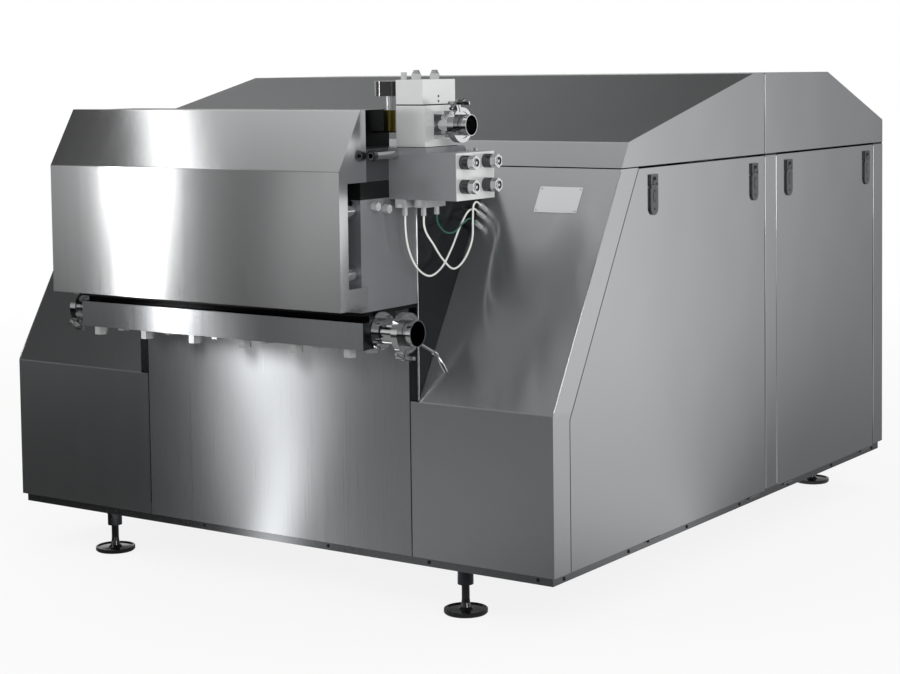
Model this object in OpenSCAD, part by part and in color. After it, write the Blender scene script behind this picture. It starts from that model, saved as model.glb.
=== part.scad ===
// Dairy homogenizer: stainless cabinet, plunger pump under a hood, side-mounted homogenising head
// Millimetres, +Z up, front faces -Y, origin on the floor under the middle of the machine

/* [Cabinet] */
// Width over the side doors
cab_w = 1800; // [1760:10:1900]
// Depth from the front panel to the rear panel
cab_d = 1986; // [1960:2:2080]
// Height of the panels' lower edge above the floor
panel_z = 140; // [130:2:160]
// Rise from the lower edge to the fold of the wings
break_rise = 389; // [370:1:410]
// Rise from the lower edge to the seam under the lids
seam_rise = 953; // [940:1:980]
// Rise from the lower edge to the front fold of the lid
lid_fold_rise = 1019; // [1010:1:1040]
// Rise from the lower edge to the flat ridge
ridge_rise = 1181; // [1160:1:1220]
// Rise from the lower edge to the lid's rear edge
lid_rear_rise = 1026; // [1015:1:1045]
// Run of the wing slope at the seam
slope_run = 331; // [315:1:345]
// Front edge of the ridge, behind the front panel
ridge_front = 1066; // [1000:2:1100]
// Rear edge of the ridge, behind the front panel
ridge_back = 1567; // [1500:2:1650]
// Front edge of the middle column, behind the front panel
column_y = 1138; // [1120:2:1160]
// Width of the columns between the doors
column_w = 75; // [65:1:80]
// Sheet thickness of the panels
sheet = 3; // [2:0.5:4]
// Gap between neighbouring panels
panel_gap = 3; // [2:0.5:4]
// Gap at the seam under the lids
seam_gap = 6; // [5:1:10]

/* [Pump] */
// Width of the pump block
pump_w = 934; // [926:2:950]
// Offset of the pump from the middle of the cabinet
pump_x = 46; // [40:1:50]
// Depth of the pump block
block_d = 222; // [216:2:230]
// Lower face of the pump block above the floor
block_z = 765; // [755:1:775]
// Height of the pump block
block_h = 395; // [390:1:400]
// Diameter of the plungers
plunger_d = 70; // [60:1:74]
// Distance between plungers
plunger_pitch = 165; // [160:1:168]
// Stroke of the plungers
stroke = 70; // [50:2:70]

/* [Hood] */
// Depth of the hood
hood_d = 105; // [95:1:115]
// Rise of the hood from its lower edge to its fold
hood_fold_rise = 327; // [320:1:335]
// Rise of the hood from its lower edge to its top
hood_h = 469; // [465:1:472]
// Run of the hood's bevel
hood_run = 86; // [75:1:90]

/* [Homogenising head] */
// Length of the valve body beside the pump block
body_l = 112; // [108:1:120]
// Length of the end cover
cover_l = 85; // [75:1:95]
// Depth of the valve body
body_d = 160; // [150:1:170]
// Height of the valve body
body_h = 124; // [118:1:130]
// Outside diameter of the suction pipe
suction_d = 63.5; // [60.3:0.1:70]
// Outside diameter of the discharge pipe
discharge_d = 50.8; // [48:0.1:54]
// Wall of both pipes
pipe_wall = 1.6; // [1.5:0.1:2]

/* [Feet and drive] */
// Diameter of the foot discs
foot_d = 110; // [100:2:130]
// Diameter of the foot stems
stem_d = 20; // [16:1:24]
// Radius of the driven pulley
driven_r = 220; // [200:5:225]
// Radius of the motor pulley
motor_r = 110; // [90:5:120]

/* [Hidden] */
$fn = 64;

// Colours of the finishes
steel = "#c9cbcc";
polished = "#e2e3e4";
dark_steel = "#6b6d6f";
black = "#1b1b1d";
paint = "#5b6b78";
iron = "#55585a";

// Clearances
fit = 0.06;
clear = 0.5;
eps = 1;

// Radius of the sheet folds
fold_r = 8;
fold_in = fold_r - sheet;
bend_steps = 4;

// Cabinet levels and runs
half_w = cab_w / 2;
break_z = panel_z + break_rise;
seam_z = panel_z + seam_rise;
lid_fold_z = panel_z + lid_fold_rise;
ridge_z = panel_z + ridge_rise;
lid_rear_z = panel_z + lid_rear_rise;
slope_h = seam_z - break_z;
slope_l = norm([slope_run, slope_h]);
lid_fold_y = slope_run * (lid_fold_z - break_z) / slope_h;
lid_z = seam_z + seam_gap / 2;
wall_top = seam_z - seam_gap / 2;
rear_column_y = cab_d - column_w;

// Pump levels and runs
block_l = pump_x - pump_w / 2;
block_r = pump_x + pump_w / 2;
block_back = -2;
block_front = block_back - block_d;
block_top = block_z + block_h;
plunger_z = block_z + 175;
plunger_r = plunger_d / 2;
chamber_r = plunger_r + 1;
plunger_reach = 138;
chamber_l = plunger_reach + stroke / 2 + 20;
port_r = chamber_r - 10;
gallery_top = 15;
poppet_t = 12;
guide_r = 10;
poppet_play = 3;
valve_y = block_back - 78;
suction_seat_z = block_z + 65;
discharge_seat_z = block_z + 235;
seat_lip = 15;
guide_drop = discharge_seat_z - plunger_z - plunger_r - 5;
plunger_count = 5;
plunger_x = [for (i = [0 : plunger_count - 1]) pump_x + (i - (plunger_count - 1) / 2) * plunger_pitch];
gap_x = [for (i = [0 : plunger_count - 2]) pump_x + (i - (plunger_count - 2) / 2) * plunger_pitch];

// Centre panel and nose corners
corner_w = 27;
seam_l = block_l + corner_w;
seam_r = block_r - corner_w;

// Base and feet
base_inset = 10;
base_t = 25;
base_z = panel_z - 22;
base_top = base_z + base_t;
lip_h = 30;
sleeve_r = 20;
sleeve_h = 45;
collar_h = 12;
collar_step = 3;
foot_front = [600, 66];
foot_rear = [690, cab_d - 72];
foot_pad_h = 12;
foot_rim = 4;
foot_dish = 3;
foot_flare_r = 20;
foot_flare_h = 28;
foot_neck_r = 14;
foot_neck_h = 7;
foot_throat_h = 18;
stem_top = base_top - 6;

// Frame posts
post_w = 50;
front_post = [slope_run + 25, slope_run + 65];
lug_h = lid_z - seam_z - clear;

// Doors and latches
door_t = 4;
ledge_w = 60;
ledge_r = 4.5;
ledge_x = half_w - base_inset / 2;
ledge_z = panel_z - clear / 2 - ledge_r;
latch_w = 38;
latch_t = 5;
latch_top = seam_z - 20;
latch_h = 104;
latch_head = 27;
latch_ear = 5;
latch_pin_r = 1.5;
latch_front = [column_y - 70 - 577, column_y - 70];
latch_rear = [column_y + column_w + 79, rear_column_y - 57];

// Hood
hood_side = 5;
hood_l = block_l - hood_side;
hood_r = block_r + hood_side;
hood_back = block_front + 18;
hood_front = hood_back - hood_d;
hood_z = block_z + 19;
hood_fold_z = hood_z + hood_fold_rise;
hood_top = hood_z + hood_h;
hood_top_r = 4;
notch_d = 73;
notch_z = [hood_z + 51, hood_z + 299];
hinge_y = hood_back - 6;
hinge_z = hood_top - 10;
hinge_r = 5.5;
hinge_pin_r = 3.5;
hinge_arm = 12;
hinge_notch = 4;
hinge_leaf = 13;
hinge_lift = 2;
hinge_knuckle = 40;
hinge_half = hinge_knuckle / 2 + hinge_arm;
hinge_x = [pump_x - 330, pump_x + 240];

// Top cover over the pump block
cover_front = hinge_y + 14;
cover_back = -8;
cover_r = block_r - 73;
cover_top = hood_top - 3;

// Front caps and block nuts
cap_r = 55;
cap_l = 34;
cap_hex_r = 26;
cap_hex_l = 14;
cap_z = [block_z + 99, block_z + 251];
nut_r = 25;
nut_l = 46;
nut_inset = 33;

// Manifold and ports
manifold_h = 80;
manifold_d = 130;
manifold_l = block_l + 9;
manifold_r = block_r + 3;
manifold_z = block_z - manifold_h;
manifold_y = block_front + manifold_d / 2;
manifold_mid = block_z - manifold_h / 2;
gallery_r = 34;
rebate_h = 15;
rebate_d = 25;
bolt_r = 17;
bolt_head = 22;
bolt_inset = 22;
suction_r = suction_d / 2;
suction_end = manifold_r + 111;
suction_joint = manifold_r + 76;
flange_r = 46;
flange_t = 8;
flange_pcr = 39;
flange_bolt_r = 6;
flange_bolt_l = 7;
suction_ferrule = 38.75;
blind_end = manifold_l - 66;
blind_joint = manifold_l - 54;
ferrule_w = 14;
clamp_w = 18;
clamp_t = 10;
lug = 16;
split = 3;
screw_r = 4;
screw_tail = 14;
wing = 30;
wing_hub_r = 9;
wing_hub_l = 10;
wing_t = 4;
suction_turn = 160;
blind_turn = 150;
discharge_turn = 20;

// Homogenising head
head_y = -30;
body_x = block_r + body_l;
cover_x = body_x + cover_l;
body_z = block_z + 272;
body_top = body_z + body_h;
head_z = body_z + body_h / 2;
body_y = [head_y - body_d / 2, head_y + body_d / 2];
cover_step = 12;
inlet_r = 20;
main_r = 25;
seat_hole_r = 16;
seat_r = 38;
seat_x = block_r + 10;
seat_l = 16;
plug_r = 26;
plug_l = 30;
plug_stem_r = 14;
plug_stem_l = 100;
guide_l = 55;
outlet_r = 18;
outlet_x = block_r + 42;
stack_l = block_r + 17;
stack_r = block_r + 101;
stack_y = [head_y - 70, head_y + 66];
outlet_h = 101;
outlet_top = body_top + outlet_h;
cap_top = outlet_top + 60;
discharge_z = body_top + 52;
discharge_r = discharge_d / 2;
recess_h = 66;
recess_d = 39;
recess_y = head_y - 33;
discharge_end = stack_r + 86;
discharge_joint = stack_r + 52;
discharge_ferrule = 32;
head_nut_r = 17;
head_nut_l = 24;
head_nut_hex = 14;
head_nut_y = [body_y[0] + 27, body_y[1] - 38];
head_nut_z = [head_z - 29, head_z + 28];
cap_nut_r = 13;
cap_nut_h = 14;
cap_nut_y = [head_y - 38, head_y + 38];
cap_nut_x = stack_l + 38;
cap_dome_h = 10;
cap_dome_step = 2;
vent_inset = 10;
vent_h = 18;
vent_r = 8;
cap_step = 6;
stub_bore_rest = 20;
panel_top = block_z + 20;

// Regulator and gauge stub
reg_x = cover_r + 37;
reg_y = -55;
bracket_z = body_top + 37;
bracket_t = 3;
bracket_l = 60;
bracket_w = 46;
reg_body_r = 14;
reg_body_h = 51;
reg_neck_r = 8;
reg_neck_h = 42;
knob_r = 35;
knob_h = 36;
knob_socket = 8;
stub_x = block_r + 22;
stub_z = body_top - 16;
stub_l = 100;
stub_r = 10;
stub_ring_r = 13;
stub_ring_l = 14;
stub_bore = 7;

// Fittings and hoses
hose_r = 2.5;
green_r = 2;
fit_r = 7;
fit_l = 26;
strip_z = body_z - 20;
strip_x = [block_r + 62, block_r + 92];
strip_y = [body_y[0] + 18, body_y[1] - 56];
tee_x = [block_r + 18, block_r + 46];
tee_y = [body_y[0], body_y[0] + 40];
plug_hex_r = 11;
plug_hex_l = 16;
plug_pos = [[block_front + 50, body_z - 14], [block_front + 94, body_z - 22]];
slope_angle = atan2(slope_h, slope_run);
slope_fit_x = block_r + 25;
slope_fit_rise = [415, 439, 457];
hose_drop = 20;
front_start = [tee_x[0] + 14, tee_y[0] + 20, strip_z - hose_drop];
middle_start = [strip_x[0] + 15, strip_y[0] + 16, strip_z - hose_drop];
green_start = [strip_x[0] + 15, strip_y[1] - 16, strip_z - hose_drop];
front_end = slope_tip(slope_fit_rise[1]);
middle_end = slope_tip(slope_fit_rise[2]);
green_end = slope_tip(slope_fit_rise[0]);

// Drive
crank_l = pump_x - 376;
crank_r = pump_x + 377;
crank_y = [60, 700];
crank_z = [block_z - 5, block_z + 265];
stud_r = 25;
stud_z = [block_z + 60, block_z + 235];
shaft_y = 560;
shaft_z = block_z + 140;
shaft_r = 30;
shaft_in = 80;
boss_r = 90;
boss_l = 17;
pulley_x = crank_r + 27;
pulley_w = 110;
pulley_lip = 5;
motor_y = 1450;
motor_z = base_top + 257;
motor_body_r = 225;
motor_x = [pump_x - 346, pump_x + 334];
motor_foot = [190, 60];
fin_h = 22;
fin_t = 6;
fin_step = 15;
fin_x = [motor_x[0] + 90, motor_x[1] - 70];
motor_box = [120, 110, 70];
belt_t = 8;
belt_play = 0.5;
stand_t = 40;
stand_y = [120, 640];
stand_x = [crank_l + 30, crank_r - 70];
plunger_front = block_back - plunger_reach;
plunger_back = crank_y[0] + 130;
seal_t = 26;
seal_r = 46;

// Depth shift that brings the middle of the machine onto the origin
depth_shift = (cab_d + hood_front) / 2;

// Sheet folds: corner b between a and c, rounded to radius r
function unit(v) = v / norm(v);
function bend(a, b, c, r) = r == 0 ? [b] :
  let (u = unit(a - b), v = unit(c - b), half = acos(u * v) / 2, middle = b + unit(u + v) * r / sin(half))
  [for (i = [0 : bend_steps]) let (p = b + (u + (v - u) * i / bend_steps) * r / tan(half))
    middle + unit(p - middle) * r];
function folded(p, r) = concat([p[0]],
  [for (i = [1 : len(p) - 2]) each bend(p[i - 1], p[i], p[i + 1], r[i])], [p[len(p) - 1]]);

// Profile points of the front, offset inward by t
function inner_break(t) = [t, break_z - t * (slope_l - slope_h) / slope_run];
function inner_seam(t, z) = [slope_run * (z - break_z) / slope_h + t * slope_l / slope_h, z];
function on_slope(rise) = [slope_run * rise / slope_h, break_z + rise];
function slope_tip(rise) = [slope_fit_x, on_slope(rise)[0] - fit_l * sin(slope_angle),
  on_slope(rise)[1] + fit_l * cos(slope_angle)];

// Hose routes: the free points between the two fittings
slope_in = [0, sin(slope_angle), -cos(slope_angle)];
lead = 22;
front_route = [front_start, front_start - [0, 0, lead], [543, -75, 915], [542, -35, 862], [541, 15, 838],
  [540, 65, 856], [539, 115, 905], [538, 160, 960], [538, 195, 990], front_end - 16 * slope_in, front_end];
middle_route = [middle_start, middle_start - [0, 0, lead], [586, -30, 925], [579, 20, 882], [572, 75, 860],
  [567, 125, 874], [560, 170, 912], [553, 190, 960], [546, 200, 1005],
  middle_end - 18 * slope_in, middle_end];
green_route = [green_start, green_start - [0, 0, lead / 2], [580, 30, 955], [567, 85, 943],
  [553, 140, 955], green_end - 18 * slope_in, green_end];

module place() {
  translate([0, -depth_shift, 0]) children();
}

module box(x, y, z) {
  translate([x[0], y[0], z[0]]) cube([x[1] - x[0], y[1] - y[0], z[1] - z[0]]);
}

module rod_x(x, y, z, r) {
  translate([x[0], y, z]) rotate([0, 90, 0]) cylinder(h = x[1] - x[0], r = r);
}

module rod_y(x, y, z, r) {
  translate([x, y[0], z]) rotate([-90, 0, 0]) cylinder(h = y[1] - y[0], r = r);
}

module rod_z(x, y, z, r) {
  translate([x, y, z[0]]) cylinder(h = z[1] - z[0], r = r);
}

module hex_x(x, y, z, r) {
  translate([x[0], y, z]) rotate([0, 90, 0]) cylinder(h = x[1] - x[0], r = r, $fn = 6);
}

module hex_y(x, y, z, r) {
  translate([x, y[0], z]) rotate([-90, 0, 0]) cylinder(h = y[1] - y[0], r = r, $fn = 6);
}

module hex_z(x, y, z, r) {
  translate([x, y, z[0]]) cylinder(h = z[1] - z[0], r = r, $fn = 6);
}

// A side profile of [y, z] points, extruded across x
module slab_x(x, points) {
  translate([x[0], 0, 0]) rotate([90, 0, 90]) linear_extrude(x[1] - x[0]) polygon(points);
}

module mirrored(side) {
  mirror([side < 0 ? 1 : 0, 0, 0]) children();
}

// Base plate with foot sleeves, door ledges and upturned lips behind the panels
module base_frame() {
  color(dark_steel) place() difference() {
    union() {
      box([base_inset - half_w, half_w - base_inset], [base_inset, cab_d - base_inset], [base_z, base_top]);
      foot_places() {
        rod_z(0, 0, [base_z - sleeve_h, base_z + eps], sleeve_r);
        rod_z(0, 0, [base_z - collar_h, base_z + eps], sleeve_r + collar_step);
      }
      for (side = [-1, 1]) mirrored(side) door_ledges();
      box([base_inset - half_w, half_w - base_inset], [sheet, base_inset + sheet],
        [panel_z, base_top + lip_h]);
      box([post_w - half_w + clear, half_w - post_w - clear], [cab_d - base_inset - sheet, cab_d - sheet],
        [panel_z, base_top + lip_h]);
    }
    foot_places() rod_z(0, 0, [base_z - sleeve_h - eps, base_top + eps], stem_d / 2 + fit);
  }
}

module foot_places() {
  for (side = [-1, 1]) {
    translate([side * foot_front[0], foot_front[1], 0]) children();
    translate([side * foot_rear[0], foot_rear[1], 0]) children();
  }
}

// Two round bars under each door carry its lower edge, and the door tilts out on them
module door_ledges() {
  for (y = concat(latch_front, latch_rear)) {
    rod_y(ledge_x, [y - ledge_w / 2, y + ledge_w / 2], ledge_z, ledge_r);
    box([half_w - base_inset - eps, ledge_x], [y - ledge_w / 2, y + ledge_w / 2],
      [ledge_z - ledge_r / 2, ledge_z + ledge_r / 2]);
  }
}

module frame_posts() {
  color(steel) place() {
    for (side = [-1, 1]) mirrored(side) {
      box([half_w - post_w, half_w], [column_y, column_y + column_w], [base_top, wall_top]);
      box([half_w - post_w, half_w - eps], [column_y, column_y + column_w], [wall_top - eps, lid_z]);
      box([half_w - post_w, half_w], [rear_column_y, cab_d], [base_top, wall_top]);
      box([half_w - post_w, half_w - eps], [rear_column_y, cab_d - eps], [wall_top - eps, lid_z]);
      box([half_w - post_w, half_w - base_inset], front_post, [base_top, lid_z]);
      box([half_w - post_w, half_w - eps], front_post, [lid_z - lug_h, lid_z]);
    }
    for (x = stand_x) box([x, x + stand_t], stand_y, [base_top, crank_z[0]]);
  }
}

// Levelling foot: a dished disc with a raised rim, flaring into its stem
module foot(pos) {
  rim = foot_d / 2;
  dish_z = foot_pad_h - foot_dish;
  color(black) place() translate([pos[0], pos[1], 0]) rotate_extrude() polygon([[0, 0],
    [rim - foot_dish, 0], [rim, foot_dish], [rim, foot_pad_h - eps], [rim - eps, foot_pad_h],
    [rim - foot_rim, foot_pad_h], [rim - foot_rim - foot_dish, dish_z], [foot_flare_r, dish_z + eps],
    [foot_neck_r, dish_z + foot_neck_h], [stem_d / 2 + eps, dish_z + foot_throat_h],
    [stem_d / 2, dish_z + foot_flare_h], [stem_d / 2, stem_top], [0, stem_top]]);
}

// Cabinet panels
module nose_cover() {
  color(steel) place() {
    for (x = [[block_l, block_l + sheet], [block_r - sheet, block_r]])
      slab_x(x, [[0, break_z + panel_gap], [0, seam_z], inner_seam(column_w / 4, seam_z),
        inner_seam(column_w / 4, break_z + panel_gap)]);
    for (x = [[block_l, seam_l], [seam_r, block_r]]) box(x, [0, sheet], [break_z + panel_gap, seam_z]);
    box([block_l, block_r], [0, slope_run], [seam_z - sheet, seam_z]);
  }
}

module front_panel() {
  color(steel) place()
    box([seam_l + panel_gap / 2, seam_r - panel_gap / 2], [0, sheet], [panel_z, panel_top]);
}

module wing_panel(inner_low, inner_high, outer, side) {
  strip = [outer - side * sheet, outer];
  color(steel) place() {
    box([min(inner_low, outer), max(inner_low, outer)], [0, sheet], [panel_z, break_z - fold_r]);
    box([min(inner_low, inner_high), max(inner_low, inner_high)], [0, sheet],
      [break_z - fold_r - eps, break_z]);
    slab_x([min(inner_high, outer), max(inner_high, outer)],
      folded([[0, break_z - fold_r - eps], [0, break_z], [slope_run, seam_z], inner_seam(sheet, seam_z),
        inner_break(sheet), [sheet, break_z - fold_r - eps]], [0, fold_r, 0, 0, fold_in, 0]));
    slab_x([min(strip), max(strip)],
      folded([[0, panel_z], [0, break_z], [slope_run, seam_z], inner_seam(column_w, seam_z),
        inner_break(column_w), [column_w, panel_z]], [0, fold_r, 0, 0, 0, 0]));
  }
}

module left_front_panel() {
  wing_panel(seam_l - panel_gap / 2, block_l - clear, -half_w, -1);
}

module right_front_panel() {
  wing_panel(seam_r + panel_gap / 2, block_r + clear, half_w, 1);
}

module rear_panel() {
  inner = half_w - post_w - panel_gap;
  color(steel) place() box([-inner, inner], [cab_d - sheet, cab_d], [panel_z, wall_top]);
}

// Lids: bent shells, open underneath
module front_lid() {
  start = inner_seam(0, lid_z);
  rear = column_y - panel_gap / 2;
  roof = ridge_z - sheet;
  color(steel) place() difference() {
    slab_x([-half_w, half_w], folded([start, [lid_fold_y, lid_fold_z], [ridge_front, ridge_z],
      [rear, ridge_z], [rear, lid_z]], [0, fold_r, fold_r, fold_r, 0]));
    slab_x([sheet - half_w, half_w - sheet], folded([start + [sheet * 2, -eps],
      [lid_fold_y + sheet * 2, lid_fold_z - sheet], [ridge_front, roof], [rear - sheet, roof],
      [rear - sheet, lid_z - eps]], [0, fold_in, fold_in, fold_in, 0]));
  }
}

module rear_lid() {
  start = column_y + panel_gap / 2;
  roof = ridge_z - sheet;
  color(steel) place() difference() {
    slab_x([-half_w, half_w], folded([[start, lid_z], [start, ridge_z], [ridge_back, ridge_z],
      [cab_d, lid_rear_z], [cab_d, lid_z]], [0, fold_r, fold_r, fold_r, 0]));
    slab_x([sheet - half_w, half_w - sheet], folded([[start + sheet, lid_z - eps], [start + sheet, roof],
      [ridge_back, roof], [cab_d - sheet, lid_rear_z - sheet], [cab_d - sheet, lid_z - eps]],
      [0, fold_in, fold_in, fold_in, 0]));
  }
}

// Doors: a sheet with two latch heads, hung on the base ledges
module door_front(side) {
  edge = column_w + panel_gap;
  color(steel) place() mirrored(side) {
    slab_x([half_w - door_t, half_w], [[edge, panel_z], inner_break(edge), inner_seam(edge, wall_top),
      [column_y - panel_gap, wall_top], [column_y - panel_gap, panel_z]]);
    for (y = latch_front) latch_head(y);
  }
}

module door_rear(side) {
  color(steel) place() mirrored(side) {
    box([half_w - door_t, half_w], [column_y + column_w + panel_gap, rear_column_y - panel_gap],
      [panel_z, wall_top]);
    for (y = latch_rear) latch_head(y);
  }
}

// Fixed head of a latch: a plate, two ears and the pin between them
module latch_head(y) {
  pin_z = latch_top - latch_head;
  x = [half_w - eps, half_w + latch_t];
  box(x, [y - latch_w / 2, y + latch_w / 2], [pin_z + latch_t, latch_top]);
  for (ear = [y - latch_w / 2, y + latch_w / 2 - latch_ear])
    box(x, [ear, ear + latch_ear], [pin_z - latch_t, pin_z + latch_t + eps]);
  rod_y(half_w + latch_t / 2, [y - latch_w / 2, y + latch_w / 2], pin_z, latch_pin_r);
}

// Levers of one door's two latches, turning on their pins
module latch_levers(side, places) {
  pin_z = latch_top - latch_head;
  half = latch_w / 2;
  inner = half - latch_ear - clear;
  low = latch_top - latch_h;
  x = [half_w + clear, half_w + latch_t];
  knuckle = (x[1] - x[0]) / 2;
  color(dark_steel) place() mirrored(side) for (y = places) difference() {
    union() {
      box(x, [y - inner, y + inner], [pin_z - latch_t * 2, pin_z]);
      rod_y(half_w + latch_t / 2, [y - inner, y + inner], pin_z, knuckle - fit);
      box(x, [y - half, y + half], [low + half, pin_z - latch_t - 3 * clear]);
      rod_x(x, y, low + half, half);
    }
    rod_y(half_w + latch_t / 2, [y - half, y + half], pin_z, latch_pin_r + fit);
  }
}

// Hood: bent shell with closed ends, hinged under its top rear edge
module hood() {
  inner_run = hood_run * (hood_top - sheet - hood_fold_z) / (hood_top - hood_fold_z);
  color(polished) place() difference() {
    union() {
      difference() {
        slab_x([hood_l, hood_r], folded([[hood_front, hood_z], [hood_front, hood_fold_z],
          [hood_front + hood_run, hood_top], [hood_back, hood_top], [hood_back, hood_z]],
          [0, fold_r, hood_top_r, 0, 0]));
        slab_x([hood_l + sheet, hood_r - sheet], folded([[hood_front + sheet, hood_z - eps],
          [hood_front + sheet, hood_fold_z - sheet / 2], [hood_front + sheet + inner_run, hood_top - sheet],
          [hood_back + eps, hood_top - sheet], [hood_back + eps, hood_z - eps]], [0, fold_in, 0, 0, 0]));
        for (x = hinge_x) box([x - hinge_half - eps, x + hinge_half + eps],
          [hinge_y - hinge_notch, hood_back + eps], [hood_top - sheet - eps, hood_top + eps]);
      }
      for (x = hinge_x) {
        rod_x([x - hinge_knuckle / 2, x + hinge_knuckle / 2], hinge_y, hinge_z, hinge_r);
        box([x - hinge_knuckle / 2, x + hinge_knuckle / 2], [hinge_y - hinge_leaf, hinge_y],
          [hinge_z + hinge_lift, hinge_z + hinge_r]);
        box([x - hinge_knuckle / 2, x + hinge_knuckle / 2], [hinge_y - hinge_leaf, hinge_y - hinge_notch],
          [hinge_z + hinge_lift, hood_top - eps]);
      }
    }
    for (x = hinge_x) rod_x([x - hinge_knuckle, x + hinge_knuckle], hinge_y, hinge_z, hinge_pin_r + fit);
    for (x = [[hood_l - eps, hood_l + sheet + eps], [hood_r - sheet - eps, hood_r + eps]])
      box(x, [hood_back - notch_d, hood_back + eps], notch_z);
  }
}

// Sheet cover over the pump block; its front carries the hood's hinge pins
module top_cover() {
  color(dark_steel) place() {
    difference() {
      box([block_l, cover_r], [cover_front, cover_back], [block_top, cover_top]);
      box([block_l + sheet, cover_r - sheet], [cover_front + sheet, cover_back - sheet],
        [block_top - eps, cover_top - sheet]);
    }
    for (x = hinge_x) {
      rod_x([x - hinge_half, x + hinge_half], hinge_y, hinge_z, hinge_pin_r);
      for (s = [-1, 1]) hinge_support(x + s * (hinge_knuckle / 2 + hinge_arm / 2 + clear / 2));
    }
  }
}

module hinge_support(x) {
  half = hinge_arm / 2 - clear / 2;
  rod_x([x - half, x + half], hinge_y, hinge_z, hinge_r);
  box([x - half, x + half], [hinge_y, cover_front + eps], [hinge_z - hinge_r, hinge_z + hinge_pin_r]);
}

// Pump
module pump_block() {
  color(polished) place() difference() {
    box([block_l, block_r], [block_front, block_back], [block_z, block_top]);
    for (x = plunger_x) {
      rod_y(x, [block_back - chamber_l, block_back + eps], plunger_z, chamber_r);
      rod_z(x, valve_y, [block_z - eps, suction_seat_z - seat_lip], chamber_r);
      rod_z(x, valve_y, [block_z, head_z], port_r);
      rod_z(x, valve_y, [suction_seat_z, discharge_seat_z - seat_lip], chamber_r);
      rod_z(x, valve_y, [discharge_seat_z, head_z + gallery_top], chamber_r);
    }
    rod_x([plunger_x[0], block_r + eps], head_y, head_z, main_r);
  }
}

module spacer_studs() {
  color(steel) place() for (x = gap_x, z = stud_z) rod_y(x, [block_back, crank_y[0]], z, stud_r);
}

// Valve caps in two rows, and the nuts that hold the block's ends
module front_caps() {
  color(polished) place() {
    for (x = plunger_x, z = cap_z) {
      rod_y(x, [block_front - cap_l, block_front], z, cap_r);
      hex_y(x, [block_front - cap_l - cap_hex_l, block_front - cap_l + eps], z, cap_hex_r);
    }
    for (x = [block_l + nut_inset, block_r - nut_inset], z = cap_z)
      rod_y(x, [block_front - nut_l, block_front], z, nut_r);
  }
}

module poppets(seat) {
  color(steel) place() for (x = plunger_x) {
    rod_z(x, valve_y, [seat + clear / 2, seat + poppet_t], chamber_r - poppet_play);
    rod_z(x, valve_y, [seat - guide_drop, seat + eps], guide_r);
  }
}

module suction_valves() {
  poppets(suction_seat_z);
}

module discharge_valves() {
  poppets(discharge_seat_z);
}

module plunger_seals() {
  color(iron) place() for (x = plunger_x) difference() {
    rod_y(x, [block_back, block_back + seal_t], plunger_z, seal_r);
    rod_y(x, [block_back - eps, block_back + seal_t + eps], plunger_z, plunger_r + fit);
  }
}

module plunger(i) {
  color(polished) place() rod_y(plunger_x[i], [plunger_front, plunger_back], plunger_z, plunger_r);
}

// Suction side
module suction_manifold() {
  y = [manifold_y - manifold_d / 2, manifold_y + manifold_d / 2];
  color(polished) place() difference() {
    box([manifold_l, manifold_r], y, [manifold_z, block_z]);
    box([manifold_l - eps, manifold_r + eps], [y[0] - eps, y[0] + rebate_d],
      [block_z - rebate_h, block_z + eps]);
    rod_x([manifold_l - eps, manifold_r + eps], manifold_y, manifold_mid, gallery_r);
    for (x = plunger_x) rod_z(x, valve_y, [manifold_mid, block_z + eps], port_r);
  }
}

module manifold_bolts() {
  x_all = concat([gap_x[0] - plunger_pitch], gap_x, [gap_x[len(gap_x) - 1] + plunger_pitch]);
  color(steel) place() for (x = x_all, y = [-1, 1])
    hex_z(x, manifold_y + y * (manifold_d / 2 - bolt_inset), [manifold_z - bolt_head, manifold_z], bolt_r);
}

// A welded pipe end along x with a bolted flange and a clamp ferrule
module pipe_end(x0, x1, joint, y, z, r, ferrule) {
  low = min(x0, x1);
  high = max(x0, x1);
  difference() {
    union() {
      rod_x([low, high], y, z, r);
      rod_x([joint - ferrule_w / 2, joint + ferrule_w / 2], y, z, ferrule);
      children();
    }
    rod_x([low - eps, high + eps], y, z, r - pipe_wall);
  }
}

module flange_bolts(x, y, z, r) {
  for (a = [45 : 90 : 315]) hex_x([x, x + flange_bolt_l], y + r * cos(a), z + r * sin(a), flange_bolt_r);
}

module suction_port() {
  color(polished) place() {
    pipe_end(manifold_r, suction_end, suction_joint, manifold_y, manifold_mid, suction_r, suction_ferrule)
      rod_x([manifold_r, manifold_r + flange_t], manifold_y, manifold_mid, flange_r);
    flange_bolts(manifold_r + flange_t - clear, manifold_y, manifold_mid, flange_pcr);
  }
}

// Blind end of the manifold
module blind_port() {
  color(polished) place() {
    rod_x([manifold_l - flange_t, manifold_l], manifold_y, manifold_mid, manifold_h / 2 - eps);
    rod_x([blind_end, manifold_l - flange_t + eps], manifold_y, manifold_mid, suction_r);
    rod_x([blind_joint - ferrule_w / 2, blind_joint + ferrule_w / 2], manifold_y, manifold_mid,
      suction_ferrule);
  }
}

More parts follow.
